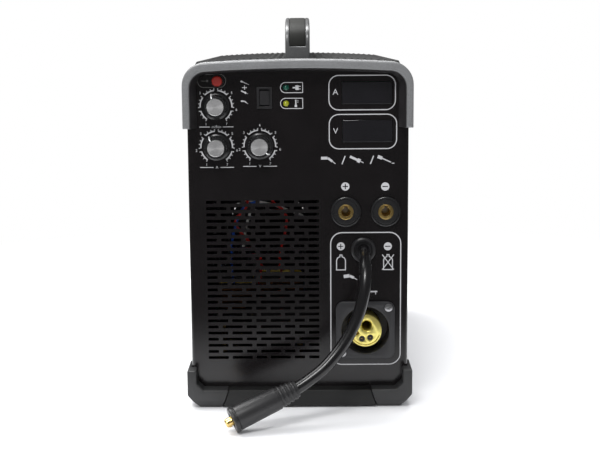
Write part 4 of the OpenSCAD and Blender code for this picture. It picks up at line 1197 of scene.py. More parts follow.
@dataclass
class PanelPrint:
    """Everything that is printed on the front panel, with places in X and Z."""

    thick: float = 0.08
    over_thick: float = 1.1
    bar_thick: float = 1.2
    knobs: tuple[str, ...] = ("wire_speed_knob", "arc_current_knob", "voltage_knob")
    units: tuple[str, ...] = ("m/min", "A", "V")
    first: float = -150.0
    step: float = 50.0
    numbers: int = 7
    ticks: int = 4
    band: Pair = (15.2, 16.5)
    band_gap: float = 6.0
    tick: Pair = (16.55, 18.0)
    tick_w: float = 0.75
    number_r: float = 20.6
    number_size: float = 3.6
    unit_size: float = 3.8
    unit_drop: float = 20.5
    unit_half: Pair = (3.5, 6.5)
    unit_line: float = 17.0
    thin: float = 0.7
    meters: tuple[tuple[Pair, Pair], ...] = (((30.5, 301.5), (97.7, 336.7)), ((30.7, 262.6), (99.1, 298.0)))
    meter_round: Pair = (10.0, 10.0)
    meter_line: float = 1.0
    meter_units: tuple[tuple[str, Pair], ...] = (("A", (37.4, 319.6)), ("V", (37.5, 280.8)))
    meter_unit_size: float = 8.2
    lamps: tuple[tuple[Pair, Pair, Sign, Pair], ...] = (
        ((-17.6, 319.1), (5.2, 329.9), Sign.PLUG, (-1.7, 324.4)),
        ((-17.6, 303.4), (5.2, 314.3), Sign.HEAT, (-2.0, 308.8)))
    lamp_round: Pair = (5.3, 0.6)
    switch_signs: tuple[tuple[Sign, Pair], ...] = (
        (Sign.STICK, (-52.5, 329.6)), (Sign.TUNGSTEN, (-52.5, 320.0)), (Sign.WIRE, (-52.5, 310.4)))
    switch_size: float = 0.5
    plus: tuple[Bar, Bar] = ((-55.2, 324.8, -50.6, 324.8, 0.8), (-52.9, 322.7, -52.9, 326.9, 0.8))
    title_signs: tuple[tuple[Sign, Pair], ...] = (
        (Sign.WIRE, (31.5, 251.8)), (Sign.TUNGSTEN, (60.0, 251.8)), (Sign.STICK, (88.5, 251.8)))
    title_size: float = 1.02
    slashes: tuple[Bar, Bar] = ((43.9, 247.6, 47.1, 256.0, 1.1), (72.4, 247.6, 75.6, 256.0, 1.1))
    poles: tuple[tuple[Pair, Pair, float], ...] = (
        ((47.2, 225.1), (87.4, 224.8), 4.2), ((42.5, 164.0), (90.2, 163.7), 4.1))
    torch_box: tuple[Pair, Pair, Pair, float] = ((31.7, 40.2), (103.9, 178.6), (12, 12), 1.1)
    bottles: tuple[Pair, ...] = ((42.7, 147.4), (90.5, 147.4))
    crosses: tuple[Bar, Bar] = ((84.6, 139.6, 96.4, 155.2, 0.9), (96.4, 139.6, 84.6, 155.2, 0.9))
    button_box: tuple[Pair, Pair, Pair, float] = ((-100.0, 324.7), (-71.2, 338.5), (6.6, 6.6), 0.8)
    button_sign: Pair = (-92.4, 331.6)
    torch_signs: tuple[tuple[Sign, Pair], ...] = ((Sign.GUN, (52.4, 131.0)), (Sign.BENCH, (74.3, 117.0)))

    def word(self, text: str, at: Pair, size: float) -> Piece:
        """Return a number or a unit at a place."""
        turn = panel_turn(self.thick / 2) @ Matrix.Translation(mm(at[0], at[1], 0))
        return Piece.words("figure", text, size, turn, self.thick)

    def scale(self, ink: Stencil, centre: Pair) -> None:
        """Add one dial's bands and ticks."""
        for k in range(self.numbers - 1):
            start = self.first + k * self.step
            ink.arc(centre, self.band, (start + self.band_gap, start + self.step - self.band_gap))
            for tick in range(self.ticks):
                angle = start + self.step * (tick + 0.5) / self.ticks
                ink.bar(*dial(centre, self.tick[0], angle), *dial(centre, self.tick[1], angle), self.tick_w)

    def caption(self, ink: Stencil, centre: Pair, unit: str) -> list[Piece]:
        """Return one dial's numbers and its unit, and add the line beside the unit."""
        angles = (self.first + k * self.step for k in range(self.numbers))
        made = [self.word(str(k + 1), dial(centre, self.number_r, angle), self.number_size)
                for k, angle in enumerate(angles)]
        low = centre[1] - self.unit_drop
        made.append(self.word(unit, (centre[0], low), self.unit_size))
        reach = self.unit_half[len(unit) > 1]
        for side in (-1, 1):
            ink.bar(centre[0] + side * reach, low, centre[0] + side * self.unit_line, low, self.thin)
        return made

    def build(self) -> None:
        """Print the panel."""
        ink, over, faint, last = Stencil(), Stencil(), Stencil(), Stencil()
        words: list[Piece] = []
        for knob, unit in zip(self.knobs, self.units):
            centre = middle(knob + "_cap").xz
            self.scale(ink, centre)
            words += self.caption(ink, centre, unit)
        for low, high in self.meters:
            ink.frame(low, high, self.meter_round, self.meter_line)
        words += [self.word(text, at, self.meter_unit_size) for text, at in self.meter_units]
        for low, high, sign, at in self.lamps:
            ink.frame(low, high, self.lamp_round, self.thin)
            ink.sign(sign, at)
        for sign, at in self.switch_signs:
            ink.sign(sign, at, self.switch_size)
        ink.bar(*self.plus[0])
        over.bar(*self.plus[1])
        for sign, at in self.title_signs:
            ink.sign(sign, at, self.title_size)
        for slash in self.slashes:
            ink.bar(*slash)
        for plus, minus, radius in self.poles:
            ink.polarity(plus, radius, True)
            ink.polarity(minus, radius, False)
        ink.frame(*self.torch_box)
        for at in self.bottles:
            ink.bottle(at)
        over.bar(*self.crosses[0])
        last.bar(*self.crosses[1])
        for sign, at in self.torch_signs:
            ink.sign(sign, at)
        main = ink.cut("panel_print", self.thick)
        main.join(over.cut("over", self.thick * self.over_thick),
                  last.cut("last", self.thick * self.bar_thick), *words).done(INK)
        faint.frame(*self.button_box)
        faint.sign(Sign.FEED, self.button_sign)
        faint.cut("panel_faint_print", self.thick).done(FAINT_INK)


# ---------------------------------------------------------------- controls

@dataclass
class Knob:
    """One fluted knob with its skirt, pointer and turned cap. Heights are measured from the panel."""

    node: str
    rest: float
    flutes: int = 24
    sides_per_flute: int = 4
    flute: float = 0.94
    flute_rows: Pair = (4.5, 15.2)
    flute_inner: float = 9.4
    body: Profile = ((0, -9), (3, -9), (3, 0.4), (13.1, 0.4), (13.5, 0.8), (13.5, 2.1), (13.0, 2.6),
                     (12.3, 2.9), (11.3, 3.6), (11.2, 5.0), (10.9, 15.0), (10.3, 15.9), (9.4, 16.2),
                     (8.7, 16.2), (8.45, 15.6), (0, 15.6))
    cap: Profile = ((0, 15.65), (8.4, 15.65), (8.4, 16.55), (8.1, 16.8), (0.4, 16.8), (0, 16.7))
    cap_sides: int = 64
    body_angle: float = 28.0
    cap_angle: float = 20.0
    pointer: Profile = ((8.8, 15.6), (8.8, 16.5), (10.8, 16.4), (13.2, 3.9), (13.4, 1.4), (9.7, 1.4))
    pointer_w: float = 1.1
    pointer_edge: float = 0.15

    def build(self) -> None:
        """Make the knob at its rest angle."""
        centre = middle(self.node + "_cap")
        origin = (centre[0], FRONT_Y, centre[2])
        sides = self.flutes * self.sides_per_flute
        body = Piece.lathe(self.node + "_body", self.body, origin, Way.FRONT.vector, sides)

        def in_flute(at: Vector) -> bool:
            """Tell the vertices at the bottom of the flutes."""
            off = at - Vector(origin)
            side = round(math.atan2(off.x, off.z) / FULL_TURN * sides)
            return (self.flute_rows[0] < -off.y < self.flute_rows[1]
                    and math.hypot(off.x, off.z) > self.flute_inner and side % self.sides_per_flute == 0)

        with body.edit():
            body.pick("VERT", in_flute)
            bpy.ops.transform.resize(value=(self.flute, 1, self.flute), center_override=mm(*origin))
        body.smooth(self.body_angle).done(KNOB, self.node, self.node)
        finish = replace(CAP, name="turned_cap_" + self.node, centre=origin)
        cap = Piece.lathe(self.node + "_turned_cap", self.cap, origin, Way.FRONT.vector, self.cap_sides)
        cap.smooth(self.cap_angle).done(finish, self.node, self.node + "_cap")
        self.point(origin)

    def point(self, origin: Triple) -> None:
        """Make the white pointer that runs from the cap down to the skirt."""
        turn = math.radians(self.rest)
        out = Vector((math.sin(turn), 0, math.cos(turn)))
        front = Way.FRONT.vector
        rows = Matrix((out, front, out.cross(front))).transposed().to_4x4()
        place = Matrix.Translation(mm(*origin)) @ rows
        fin = Piece.flat(self.node + "_pointer", [self.pointer], self.pointer_w, place)
        fin.soften(self.pointer_edge, 2).done(POINTER, self.node)


@dataclass
class Controls(Assembly):
    """The knobs, switches, lamps and meters of the front panel."""

    knobs: tuple[Knob, ...] = (Knob("wire_speed_knob", -21.0), Knob("arc_current_knob", -36.0),
                               Knob("voltage_knob", 131.0))
    button: Profile = ((0, -5), (5.2, -5), (5.2, 4.2), (4.9, 4.9), (4.0, 5.25), (2.0, 5.36), (0, 5.4))
    lamp_r: float = 3.0
    lamp_rise: float = 0.6
    lamp_deep: float = -5.0
    rim: float = 0.1
    dome_angles: tuple[float, ...] = (15.0, 35.0, 55.0, 75.0)
    trims: tuple[Trim, ...] = (
        Trim("mode_rocker", "mode_rocker_cap", SATIN, 0.45, "mode_rocker"),
        Trim("switch_bodies", "switch_housings", SATIN, 0.3),
        Trim("meter_windows", "tinted_meters", WINDOW, 0.5),
        Trim("potentiometers", "potentiometer_cans", STEEL, 0.3))

    def build(self) -> None:
        """Make all the controls."""
        for knob in self.knobs:
            knob.build()
        self.turned("inch_button", "inch_button_cap", self.button, RED, "inch_button", GENTLE)
        r, rise = self.lamp_r, self.lamp_rise
        turns = map(math.radians, self.dome_angles)
        dome = [(r * math.cos(turn), rise + r * math.sin(turn)) for turn in turns]
        lens = [(0, self.lamp_deep), (r, self.lamp_deep), (r, rise + self.rim), *dome, (0, rise + r)]
        for node, finish in (("power_lamp", GREEN), ("thermal_lamp", YELLOW)):
            self.turned(node, node + "_lens", lens, finish, "case", FULL)
        super().build()

    def turned(self, node: str, name: str, profile: Profile, finish: Finish, body: str,
               angle: float) -> None:
        """Make a round piece that stands on the panel in place of a node."""
        centre = middle(node)
        piece = Piece.lathe(name, profile, (centre[0], FRONT_Y, centre[2]), Way.FRONT.vector)
        piece.smooth(angle).done(finish, body, node)


# ---------------------------------------------------------------- sockets

@dataclass
class Sockets(Assembly):
    """The two output sockets and the torch's central socket. Heights are measured from the panel."""

    trims: tuple[Trim, ...] = (Trim("socket_contacts", "socket_brass", BRASS, 0.35, segments=2),
                               Trim("torch_socket_flange", "torch_flange", FLANGE, 0.9))
    core_edge: float = 0.3
    insulator: Profile = ((7.75, -26), (12.9, -26), (12.9, 0), (15.3, 0), (15.3, 3.0), (14.9, 3.9),
                          (14.2, 4.3), (13.3, 4.3), (13.1, 3.8), (12.7, 3.8), (12.5, 4.5), (12.2, 4.6),
                          (8.05, 4.6), (7.75, 4.3), (7.75, -26))
    insulator_sides: int = 72
    bore_end: Profile = ((0, -16.4), (4.4, -16.4), (4.4, -15.6), (3.2, -15.0), (2.9, -13.4), (0, -13.2))
    groove: Pair = (14.1, 14.8)
    groove_deep: float = 1.4
    groove_parts: tuple[Pair, ...] = ((108.0, 167.0), (172.0, 188.0), (193.0, 252.0))
    groove_steps: int = 12
    pins: tuple[Pair, ...] = ((-3.5, -8.4), (4.9, -7.1))
    bush: Profile = ((0.85, -8.5), (2.95, -8.5), (2.95, -0.3), (2.7, 0.1), (1.2, 0.1), (0.85, -0.6),
                     (0.85, -8.5))
    pin: Profile = ((0, -8.5), (0.75, -8.5), (0.75, -0.5), (0.4, -0.1), (0, 0))
    pin_sides: int = 24

    def output(self, name: str, at: Vector) -> None:
        """Make one output socket's insulator and the end of its bore."""
        origin, front = (at[0], FRONT_Y, at[2]), Way.FRONT.vector
        insulator = Piece.lathe(name + "_insulator", self.insulator, origin, front, self.insulator_sides)
        insulator.smooth(CRISP).done(KNOB, "case", "socket_insulators")
        Piece.lathe(name + "_bore_end", self.bore_end, origin, front).smooth().done(STEEL)

    def torch(self) -> None:
        """Make the central socket's brass core with a groove, and its control pins."""
        at = middle("torch_socket_flange")
        origin = Vector((at[0], low_corner("torch_socket_core")[1], at[2]))
        core = Piece.of_node("torch_core", "torch_socket_core")
        turn = Matrix.Translation(mm(0, origin.y, 0)) @ Matrix.Rotation(math.pi / 2, 4, "X")
        for part in self.groove_parts:
            stencil = Stencil(self.groove_steps)
            stencil.arc((origin.x, origin.z), self.groove, part)
            core.cut(Piece.flat("groove", stencil.loops, self.groove_deep, turn))
        finish = replace(CORE, centre=tuple(origin))
        core.soften(self.core_edge, 2).done(finish, "case", "torch_socket_core")
        for k, (x, z) in enumerate(self.pins, 1):
            place, front = origin + Vector((x, 0, z)), Way.FRONT.vector
            Piece.lathe(f"torch_pin_bush_{k}", self.bush, place, front).smooth().done(SATIN)
            pin = Piece.lathe(f"torch_control_pin_{k}", self.pin, place, front, self.pin_sides)
            pin.smooth().done(BRASS)

    def build(self) -> None:
        """Make all the sockets."""
        for name in ("positive_socket", "negative_socket"):
            self.output(name, mount(name))
        super().build()
        self.torch()


# ---------------------------------------------------------------- case

@dataclass
class Screws:
    """Cross-recessed screws of the case and the handle's bolts.

    A head is its radius, height and shank length, and its profile and recess are shares of them.
    """

    small: Triple = (3.6, 1.6, 5.0)
    large: Triple = (4.2, 1.4, 8.0)
    tip_r: float = 1.2
    shank_r: float = 1.5
    tip_h: float = 0.5
    head: Profile = ((1, 0), (1, 0.35), (0.92, 0.68), (0.7, 0.92), (0.4, 1), (0, 1))
    recess_arm: float = 0.55
    recess_half: float = 0.36
    recess_floor: float = 0.35
    sides: int = 32
    side_y: tuple[float, ...] = (-150.0, -50.0, 50.0, 150.0)
    side_z: float = 20.0
    side_spin: float = 35.0
    rear_x: tuple[float, ...] = (-85.0, 0.0, 85.0)
    rear_z: float = 24.5
    torch_off: float = 23.6
    torch_spin: float = 30.0
    bolt: Profile = ((0, -3.9), (4.2, -3.9), (4.6, -3.5), (4.6, 0), (2.5, 0), (2.5, 14), (0, 14))
    bolt_sides: int = 24
    bolt_y: float = 185.5
    bolt_off: float = 7.0
    bolt_sunk: float = 2.1

    def pan_head(self, radius: float, high: float, shank: float) -> Piece:
        """Return a screw along +Z with the underside of its head at the origin."""
        profile = [(0, -shank), (self.tip_r, -shank), (self.shank_r, self.tip_h - shank), (self.shank_r, 0),
                   *((radius * r, high * h) for r, h in self.head)]
        screw = Piece.lathe("screw", profile, (0, 0, 0), Way.UP.vector, self.sides)
        arm, half = radius * self.recess_arm, self.recess_half
        for x, y in ((arm, half), (half, arm)):
            screw.cut(Piece.block("recess", (-x, -y, high * self.recess_floor), (x, y, high + 1)))
        return screw.smooth(CRISP)

    def build(self) -> None:
        """Make one of each kind and put a copy in each place."""
        small, large = self.pan_head(*self.small), self.pan_head(*self.large)
        made = []
        for k, y in enumerate(self.side_y):
            spin = Matrix.Rotation(math.radians(self.side_spin * k), 4, "Z")
            for way, x in ((Way.RIGHT, CASE_X), (Way.LEFT, -CASE_X)):
                made.append(small.copy("screw", placed((x, y, self.side_z), way.vector) @ spin))
        for x in self.rear_x:
            made.append(small.copy("screw", placed((x, REAR_Y, self.rear_z), Way.REAR.vector)))
        flange, face = middle("torch_socket_flange"), low_corner("torch_socket_flange")[1]
        spin = Matrix.Rotation(math.radians(self.torch_spin), 4, "Z")
        for off in (-self.torch_off, self.torch_off):
            place = placed((flange[0] + off, face, flange[2] + off), Way.FRONT.vector)
            made.append(large.copy("screw", place @ spin))
        for y in (-self.bolt_y, self.bolt_y):
            for off in (-self.bolt_off, self.bolt_off):
                place = (0, y + off, CASE_TOP - self.bolt_sunk)
                made.append(Piece.lathe("bolt", self.bolt, place, Way.UP.vector, self.bolt_sides))
        small.scrap()
        large.scrap()
        made[0].join(*made[1:]).smooth(CRISP)
        made[0].named("case_screws").done(STEEL, "case", "screws")


@dataclass
class Louvres:
    """Rows of pressed hoods over the slots of a side sheet.

    The hood's skin and the room under it are outlines of its distance out and its height.
    """

    pitch: float = 9.0
    over: float = 1.2
    cheek: float = 0.7
    skin: Profile = ((0, 5.8), (1.21, 4.6), (2.2, 0.6), (2.2, -0.4), (0, -0.8))
    room: Profile = ((-1, 3.4), (0, 3.4), (1.5, 0.4), (1.5, -1.5), (-1, -1.5))

    def hood(self, long: float) -> Piece:
        """Return one hood along +Y from the origin, standing out along +X, open below."""
        turn = Matrix.Translation(mm(0, long / 2, 0)) @ Matrix.Rotation(math.pi / 2, 4, "X")
        full = long + 2 * self.over
        hood = Piece.flat("hood", [self.skin], full, turn)
        return hood.cut(Piece.flat("room", [self.room], full - 2 * self.cheek, turn)).smooth(CRISP)

    def rows(self, name: str, side: int, columns: Sequence[Pair], low: float, count: int, body: str) -> None:
        """Make the hoods of one sheet.

        Args:
            name: The piece's name.
            side: 1 for the right side of the case and -1 for the left.
            columns: First and last Y of each column of slots.
            low: Z of the lowest slot.
            count: Slots in a column.
            body: The CAD body that they ride on.
        """
        model = self.hood(columns[0][1] - columns[0][0])
        flip = Matrix.Rotation(math.pi if side < 0 else 0.0, 4, "Z")
        made = []
        for start, end in columns:
            for k in range(count):
                place = mm(side * CASE_X, start if side > 0 else end, low + k * self.pitch)
                made.append(model.copy(name, Matrix.Translation(place) @ flip))
        model.scrap()
        made[0].join(*made[1:])
        made[0].named(name).done(SHEET, body)


@dataclass
class Case(Assembly):
    """The sheet-metal case, its deck, bumpers and feet."""

    left_columns: tuple[Pair, ...] = ((-170.0, -120.0), (-110.0, -60.0), (90.0, 140.0), (150.0, 200.0))
    left_low: float = 70.0
    left_count: int = 14
    nose_round: float = 2.4
    nose_reach: float = 0.02
    edge_round: float = 0.4
    trims: tuple[Trim, ...] = (Trim("corner_feet", "feet_corners", FOOT, 1.5, segments=4, angle=25.0),
                               Trim("base_strips", "base_rails", STRIP, 0.8))

    def bumper(self, end: str, nose: float) -> None:
        """Make one bumper, well rounded at its nose and a little elsewhere."""
        node = end + "_top_bumper"
        bumper = Piece.of_node(end + "_bumper", node)
        with bumper.edit():
            bumper.pick("EDGE", lambda at: abs(at.y - nose) < self.nose_reach)
            bpy.ops.mesh.bevel(offset=self.nose_round * MM, segments=4, affect="EDGES")
        bumper.soften(self.edge_round, 2, GENTLE).done(BUMPER, "case", node)

    def build(self) -> None:
        """Make the case."""
        dress(PANEL, "front_panel")
        dress(SHEET, "rear_panel", "left_side_panel", "door_frame")
        dress(ROOF, "roof_panel")
        dress(ZINC, "base_pan", "centre_partition")
        Piece.of_node("deck_ribs", "ribbed_deck").smooth(EVEN).done(DECK, "case", "ribbed_deck")
        self.bumper("front", low_corner("front_top_bumper")[1])
        self.bumper("rear", high_corner("rear_top_bumper")[1])
        liners = Piece.of_node("bumper_inner_liners", "bumper_liners")
        liners.smooth(CRISP).done(LINER, "case", "bumper_liners")
        super().build()
        Louvres().rows("left_louvres", -1, self.left_columns, self.left_low, self.left_count, "case")
        Screws().build()


@dataclass
class CarryHandle(Assembly):
    """The bow over the roof with its soft inlay."""

    trims: tuple[Trim, ...] = (Trim("handle_frame", "handle_bow", HANDLE, 1.6, segments=4),
                               Trim("handle_grip", "handle_inlay", GRIP, 0.7))


@dataclass
class SideDoor(Assembly):
    """The hinged door over the wire feeder, with its latch."""

    trims: tuple[Trim, ...] = (Trim("door_knob", "latch_knob", SATIN, 0.5, "door_latch"),)
    columns: tuple[Pair, ...] = ((-150.0, -100.0), (100.0, 150.0))
    low: float = 110.0
    count: int = 10

    def build(self) -> None:
        """Make the door."""
        dress(SHEET, "side_door")
        dress(STEEL, "hinge_leaves", "hinge_pins")
        Louvres().rows("door_louvres", 1, self.columns, self.low, self.count, "side_door")
        super().build()


# ---------------------------------------------------------------- inside

@dataclass
class WireFeeder(Assembly):
    """The two-roll wire drive with its motor, arm, lever and spring."""

    spring_r: float = 5.0
    spring_wire: float = 0.8
    turns: int = 6
    points_per_turn: int = 12
    trims: tuple[Trim, ...] = (
        Trim("feed_plate", "feeder_casting", ALLOY, 0.5), Trim("feed_motor", "motor_can", SATIN, 0.8),
        Trim("drive_roll", "grooved_roll", STEEL, 0.4, "drive_roll"),
        Trim("pressure_roll", "bearing_roll", STEEL, 0.4, "pressure_roll"),
        Trim("pressure_arm", "rocker_arm", ALLOY, 0.4, "pressure_arm"),
        Trim("tension_lever", "lever_grip", LEVER_RED, 0.4, "tension_lever"))

    def spring(self) -> None:
        """Wind the tension spring."""
        low, high = low_corner("tension_spring"), high_corner("tension_spring")
        centre = (low + high) / 2
        bottom, top = low[2] + self.spring_wire, high[2] - self.spring_wire
        count, r = self.turns * self.points_per_turn, self.spring_r
        points = []
        for k in range(count + 1):
            turn = FULL_TURN * k / self.points_per_turn
            points.append((centre[0] + r * math.cos(turn), centre[1] + r * math.sin(turn),
                           bottom + (top - bottom) * k / count))
        coil = Piece.wire("tension_coil", points, self.spring_wire)
        coil.smooth(FULL).done(STEEL, "tension_lever", "tension_spring")

    def build(self) -> None:
        """Make the feeder."""
        super().build()
        self.spring()


@dataclass
class SpoolHolder(Assembly):
    """The spindle and the braked hub that a wire spool goes on."""

    trims: tuple[Trim, ...] = (Trim("spool_spindle", "spool_shaft", SATIN, 0.5),
                               Trim("spool_hub", "spool_core", SATIN, 0.6, "spool_hub"))


@dataclass
class CoolingFan:
    """The fan behind the rear grille."""

    hub_r: float = 19.0
    hub_wall: float = 2.0
    hub_floor: float = 4.0
    hub_edge: float = 1.5
    root: float = 1.0
    tip_r: float = 54.5
    blades: int = 7
    sweep: float = 58.0
    thick: float = 1.5
    inset: float = 2.0
    steps: int = 10
    housing: Trim = Trim("fan_frame", "fan_housing", SATIN, 0.5)

    def build(self) -> None:
        """Make the frame and the rotor with its curved blades."""
        self.housing.build()
        low, high = low_corner("fan_rotor"), high_corner("fan_rotor")
        centre, depth, inner = (low + high) / 2, high[1] - low[1], self.hub_r - self.hub_wall
        profile = [(0, 0), (self.hub_r - self.hub_edge, 0), (self.hub_r, self.hub_edge), (self.hub_r, depth),
                   (inner, depth), (inner, self.hub_floor), (0, self.hub_floor)]
        rotor = Piece.lathe("fan_wheel", profile, (centre[0], low[1], centre[2]), Way.REAR.vector)
        blade = self.blade(depth - 2 * self.inset)
        place = Matrix.Translation(mm(centre[0], low[1] + self.inset, centre[2]))
        for k in range(self.blades):
            rotor.join(blade.copy("blade", place @ Matrix.Rotation(FULL_TURN * k / self.blades, 4, "Y")))
        blade.scrap()
        rotor.smooth(EVEN).done(SATIN, "fan_rotor", "fan_rotor")

    def blade(self, rise: float) -> Piece:
        """Return a blade that turns and climbs along +Y from the X axis."""
        deselect()
        bpy.ops.mesh.primitive_plane_add(size=MM)
        blade = Piece("blade")
        root = self.hub_r - self.root
        with blade.edit():
            bpy.ops.mesh.merge(type="CENTER")
            bpy.ops.transform.translate(value=mm(root, 0, 0))
            bpy.ops.mesh.extrude_region_move(TRANSFORM_OT_translate={"value": mm(self.tip_r - root, 0, 0)})
            bpy.ops.mesh.select_all(action="SELECT")
            climb = {"value": mm(0, rise / self.steps, 0)}
            for _ in range(self.steps):
                bpy.ops.mesh.extrude_region_move(TRANSFORM_OT_translate=climb)
                bpy.ops.transform.rotate(value=math.radians(self.sweep) / self.steps, orient_axis="Y",
                                         center_override=(0, 0, 0))
            bpy.ops.mesh.select_all(action="SELECT")
            bpy.ops.mesh.normals_make_consistent(inside=False)
        return blade.modifier("SOLIDIFY", thickness=self.thick * MM, offset=0.0)


@dataclass
class PowerStage:
    """The boards, capacitors, heat sinks, chokes and loose wires inside.

    The cores' window, yoke, winding and tape are shares of their size. Heights on the power board
    are measured from its top.
    """

    can: Profile = ((0, 0), (15.5, 0), (16, 0.6), (16, 3.4), (15.2, 4.2), (16, 5.0), (16, 48.6),
                    (15.4, 49.6), (13.8, 50), (13, 49.2), (2.0, 49.2), (0, 48.9))
    can_h: float = 50.0
    cans: tuple[float, ...] = (-84.0, -48.0, -12.0)
    cans_y: float = 152.0
    cores: tuple[tuple[str, Triple, Triple], ...] = (
        ("output_choke", (-92, -66, 0.1), (-54, -8, 54)), ("main_transformer", (-44, -66, 0.1), (2, -8, 66)))
    core_edge: float = 1.0
    window: float = 0.30
    yoke: float = 0.24
    winding: float = 0.36
    winding_out: float = 3.0
    winding_round: float = 0.45
    winding_segments: int = 5
    tape: Pair = (0.16, 0.08)
    tape_out: float = 0.3
    tape_edge: float = 0.25
    board_thick: float = 2.0
    board_edge: float = 0.2
    post: Profile = ((2.4, -2.0), (2.4, 1.5), (0, 1.5))
    post_r: float = 4.0
    post_sides: int = 6
    post_x: Pair = (15.0, -14.0)
    post_y: Pair = (14.0, -14.0)
    part_sizes: tuple[Triple, ...] = ((6, 4, 2.2), (9, 7, 6.5), (3, 7, 3.0), (7, 9, 9.5))
    part_order: tuple[int, int] = (5, 3)
    part_shift: Pair = (2.0, 1.5)
    part_edge: float = 0.4
    power_parts: tuple[Pair, Pair, tuple[int, int]] = ((-96, 128), (21, 0.1), (6, 1))
    control_parts: tuple[Pair, Pair, tuple[int, int]] = ((-88, 262), (19, 17), (10, 4))
    control_back: float = 7.4
    wire_r: float = 1.3
    runs: tuple[tuple[Finish, tuple[Triple, ...]], ...] = (
        (WIRE_RED, ((-60, -219, 252), (-52, -214, 205), (-66, -213, 186), (-40, -206, 150),
                    (-44, -150, 110))),
        (WIRE_RED, ((-22, -219, 250), (-30, -215, 214), (-12, -213, 192), (-20, -204, 150),
                    (-18, -120, 108))),
        (WIRE_BLUE, ((-44, -218, 252), (-36, -215, 214), (-58, -212, 200), (-70, -206, 160),
                     (-72, -130, 104))),
        (WIRE_WHITE, ((-76, -219, 250), (-82, -215, 226), (-60, -212, 211), (-30, -208, 205),
                      (4, -190, 190))),
        (WIRE_WHITE, ((-8, -219, 250), (-4, -214, 230), (-26, -211, 222), (-50, -208, 196),
                      (-60, -160, 150))))

    def core(self, name: str, low: Vector, high: Vector) -> None:
        """Make one wound core: a ferrite frame with a window, and a winding on each leg's middle."""
        size = high - low
        leg, yoke = size[1] * self.window, size[2] * self.yoke
        ring = Piece.block(name + "_core", low, high)
        ring.cut(Piece.block("window", (low[0] - 1, low[1] + leg, low[2] + yoke),
                             (high[0] + 1, high[1] - leg, high[2] - yoke))).soften(self.core_edge)
        wound, half = [], size[1] * self.winding / 2
        for y in (low[1] + leg / 2, high[1] - leg / 2):
            coil = Piece.block("coil", (low[0] - self.winding_out, y - half, low[2] + yoke + 1),
                               (high[0] + self.winding_out, y + half, high[2] - yoke - 1))
            wound.append(coil.soften(half * self.winding_round, self.winding_segments))
        wound[0].join(wound[1])
        out = self.tape_out
        band = Piece.block(name + "_tape", (low[0] - out, low[1] - out, high[2] - size[2] * self.tape[0]),
                           (high[0] + out, high[1] + out, high[2] - size[2] * self.tape[1]))
        band.soften(self.tape_edge)
        ring.done(FERRITE, "case", "transformer")
        wound[0].named(name + "_winding").done(COPPER)
        band.done(TAPE)

    def parts_on(self, name: str, origin: Triple, spread: Pair, count: tuple[int, int], up: Way) -> None:
        """Make rows of small parts on a board: chips, resistors and connectors of a few sizes.

        Args:
            name: The piece's name.
            origin: Where the first part stands.
            spread: Distances between parts along X and across it.
            count: Parts along X and across it.
            up: The way that they stand out.
        """
        made = []
        step = self.part_order
        across = Vector((0, 1, 0)) if up is Way.UP else Vector((0, 0, 1))
        for i in range(count[0]):
            for j in range(count[1]):
                size = self.part_sizes[(i * step[0] + j * step[1]) % len(self.part_sizes)]
                at = (Vector(origin) + Vector((1, 0, 0)) * (spread[0] * i + self.part_shift[0] * (j % 3))
                      + across * (spread[1] * j + self.part_shift[1] * (i % 2)))
                half = Vector((size[0] / 2, 0, 0)) + across * (size[1] / 2)
                made.append(Piece.block("part", at - half, at + half + up.vector * size[2]))
        made[0].join(*made[1:])
        made[0].named(name).soften(self.part_edge, 2).done(SATIN)

    def boards(self, top: float) -> None:
        """Make the power board, its posts and capacitors, and dress the control board."""
        low, high = low_corner("power_board"), high_corner("power_board")
        under = top - self.board_thick
        board = Piece.block("power_board_sheet", (low[0], low[1], under), (high[0], high[1], top))
        board.soften(self.board_edge, 1).done(MASK_GREEN, "case", "power_board")
        post = [(0, low[2]), (self.post_r, low[2]), (self.post_r, under), *lifted(self.post, top)]
        for side, x in zip(("left", "right"), (low[0] + self.post_x[0], high[0] + self.post_x[1])):
            for k, y in enumerate((low[1] + self.post_y[0], high[1] + self.post_y[1]), 1):
                made = Piece.lathe(f"board_post_{side}_{k}", post, (x, y, 0), Way.UP.vector, self.post_sides)
                made.soften(self.board_edge, 2).done(BRASS)
        for k, x in enumerate(self.cans, 1):
            can = Piece.lathe(f"reservoir_capacitor_{k}", self.can, (x, self.cans_y, top), Way.UP.vector)
            can.smooth(EVEN).done(CAN_SLEEVE)
        (x, y), spread, count = self.power_parts
        self.parts_on("power_board_parts", (x, y, top), spread, count, Way.UP)
        dress(MASK_GREEN, "control_board")
        (x, z), spread, count = self.control_parts
        back = high_corner("control_board")[1] - self.control_back
        self.parts_on("control_board_parts", (x, back, z), spread, count, Way.REAR)

    def build(self) -> None:
        """Make everything behind the panels."""
        dress(EXTRUDED, "heatsinks")
        top = high_corner("power_board")[2] - self.can_h
        for name, low, high in self.cores:
            self.core(name, Vector(low) + Vector((0, 0, top)), Vector(high) + Vector((0, 0, top)))
        self.boards(top)
        for k, (finish, points) in enumerate(self.runs, 1):
            Piece.wire(f"panel_wire_{k}", points, self.wire_r).smooth(FULL).done(finish)


@dataclass
class RearFittings(Assembly):
    """The mains switch, the cable gland and the gas inlet with its valve."""

    trims: tuple[Trim, ...] = (
        Trim("mains_rocker", "mains_switch_rocker", RED, 0.6, "mains_rocker"),
        Trim("mains_gland", "mains_cable_gland", SATIN, 0.5), Trim("gas_inlet", "gas_nipple", BRASS, 0.4),
        Trim("gas_valve", "gas_solenoid", SATIN, 0.6))


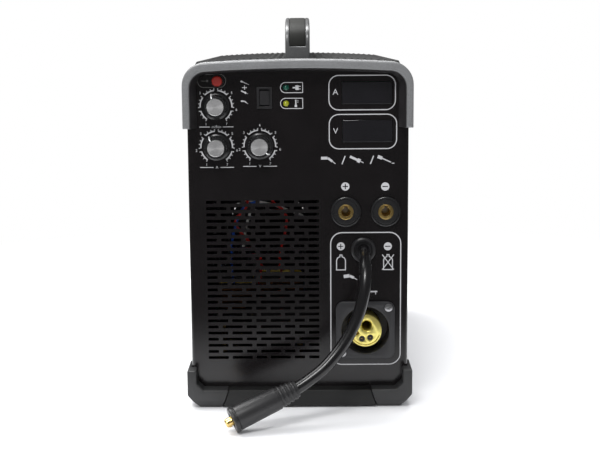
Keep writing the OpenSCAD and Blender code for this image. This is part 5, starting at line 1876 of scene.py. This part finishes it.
def main() -> None:
    """Set up the studio and the lead first, then build the machine from outside in."""
    logging.basicConfig(level=logging.INFO, format="%(message)s")
    Studio().build()
    for part in (ChangeoverLead(), PanelPrint(), Controls(), Sockets(), Case(), CarryHandle(), SideDoor(),
                 WireFeeder(), SpoolHolder(), CoolingFan(), PowerStage(), RearFittings()):
        log.info("== %s", type(part).__name__)
        part.build()
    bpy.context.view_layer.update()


if __name__ == "__main__":
    main()
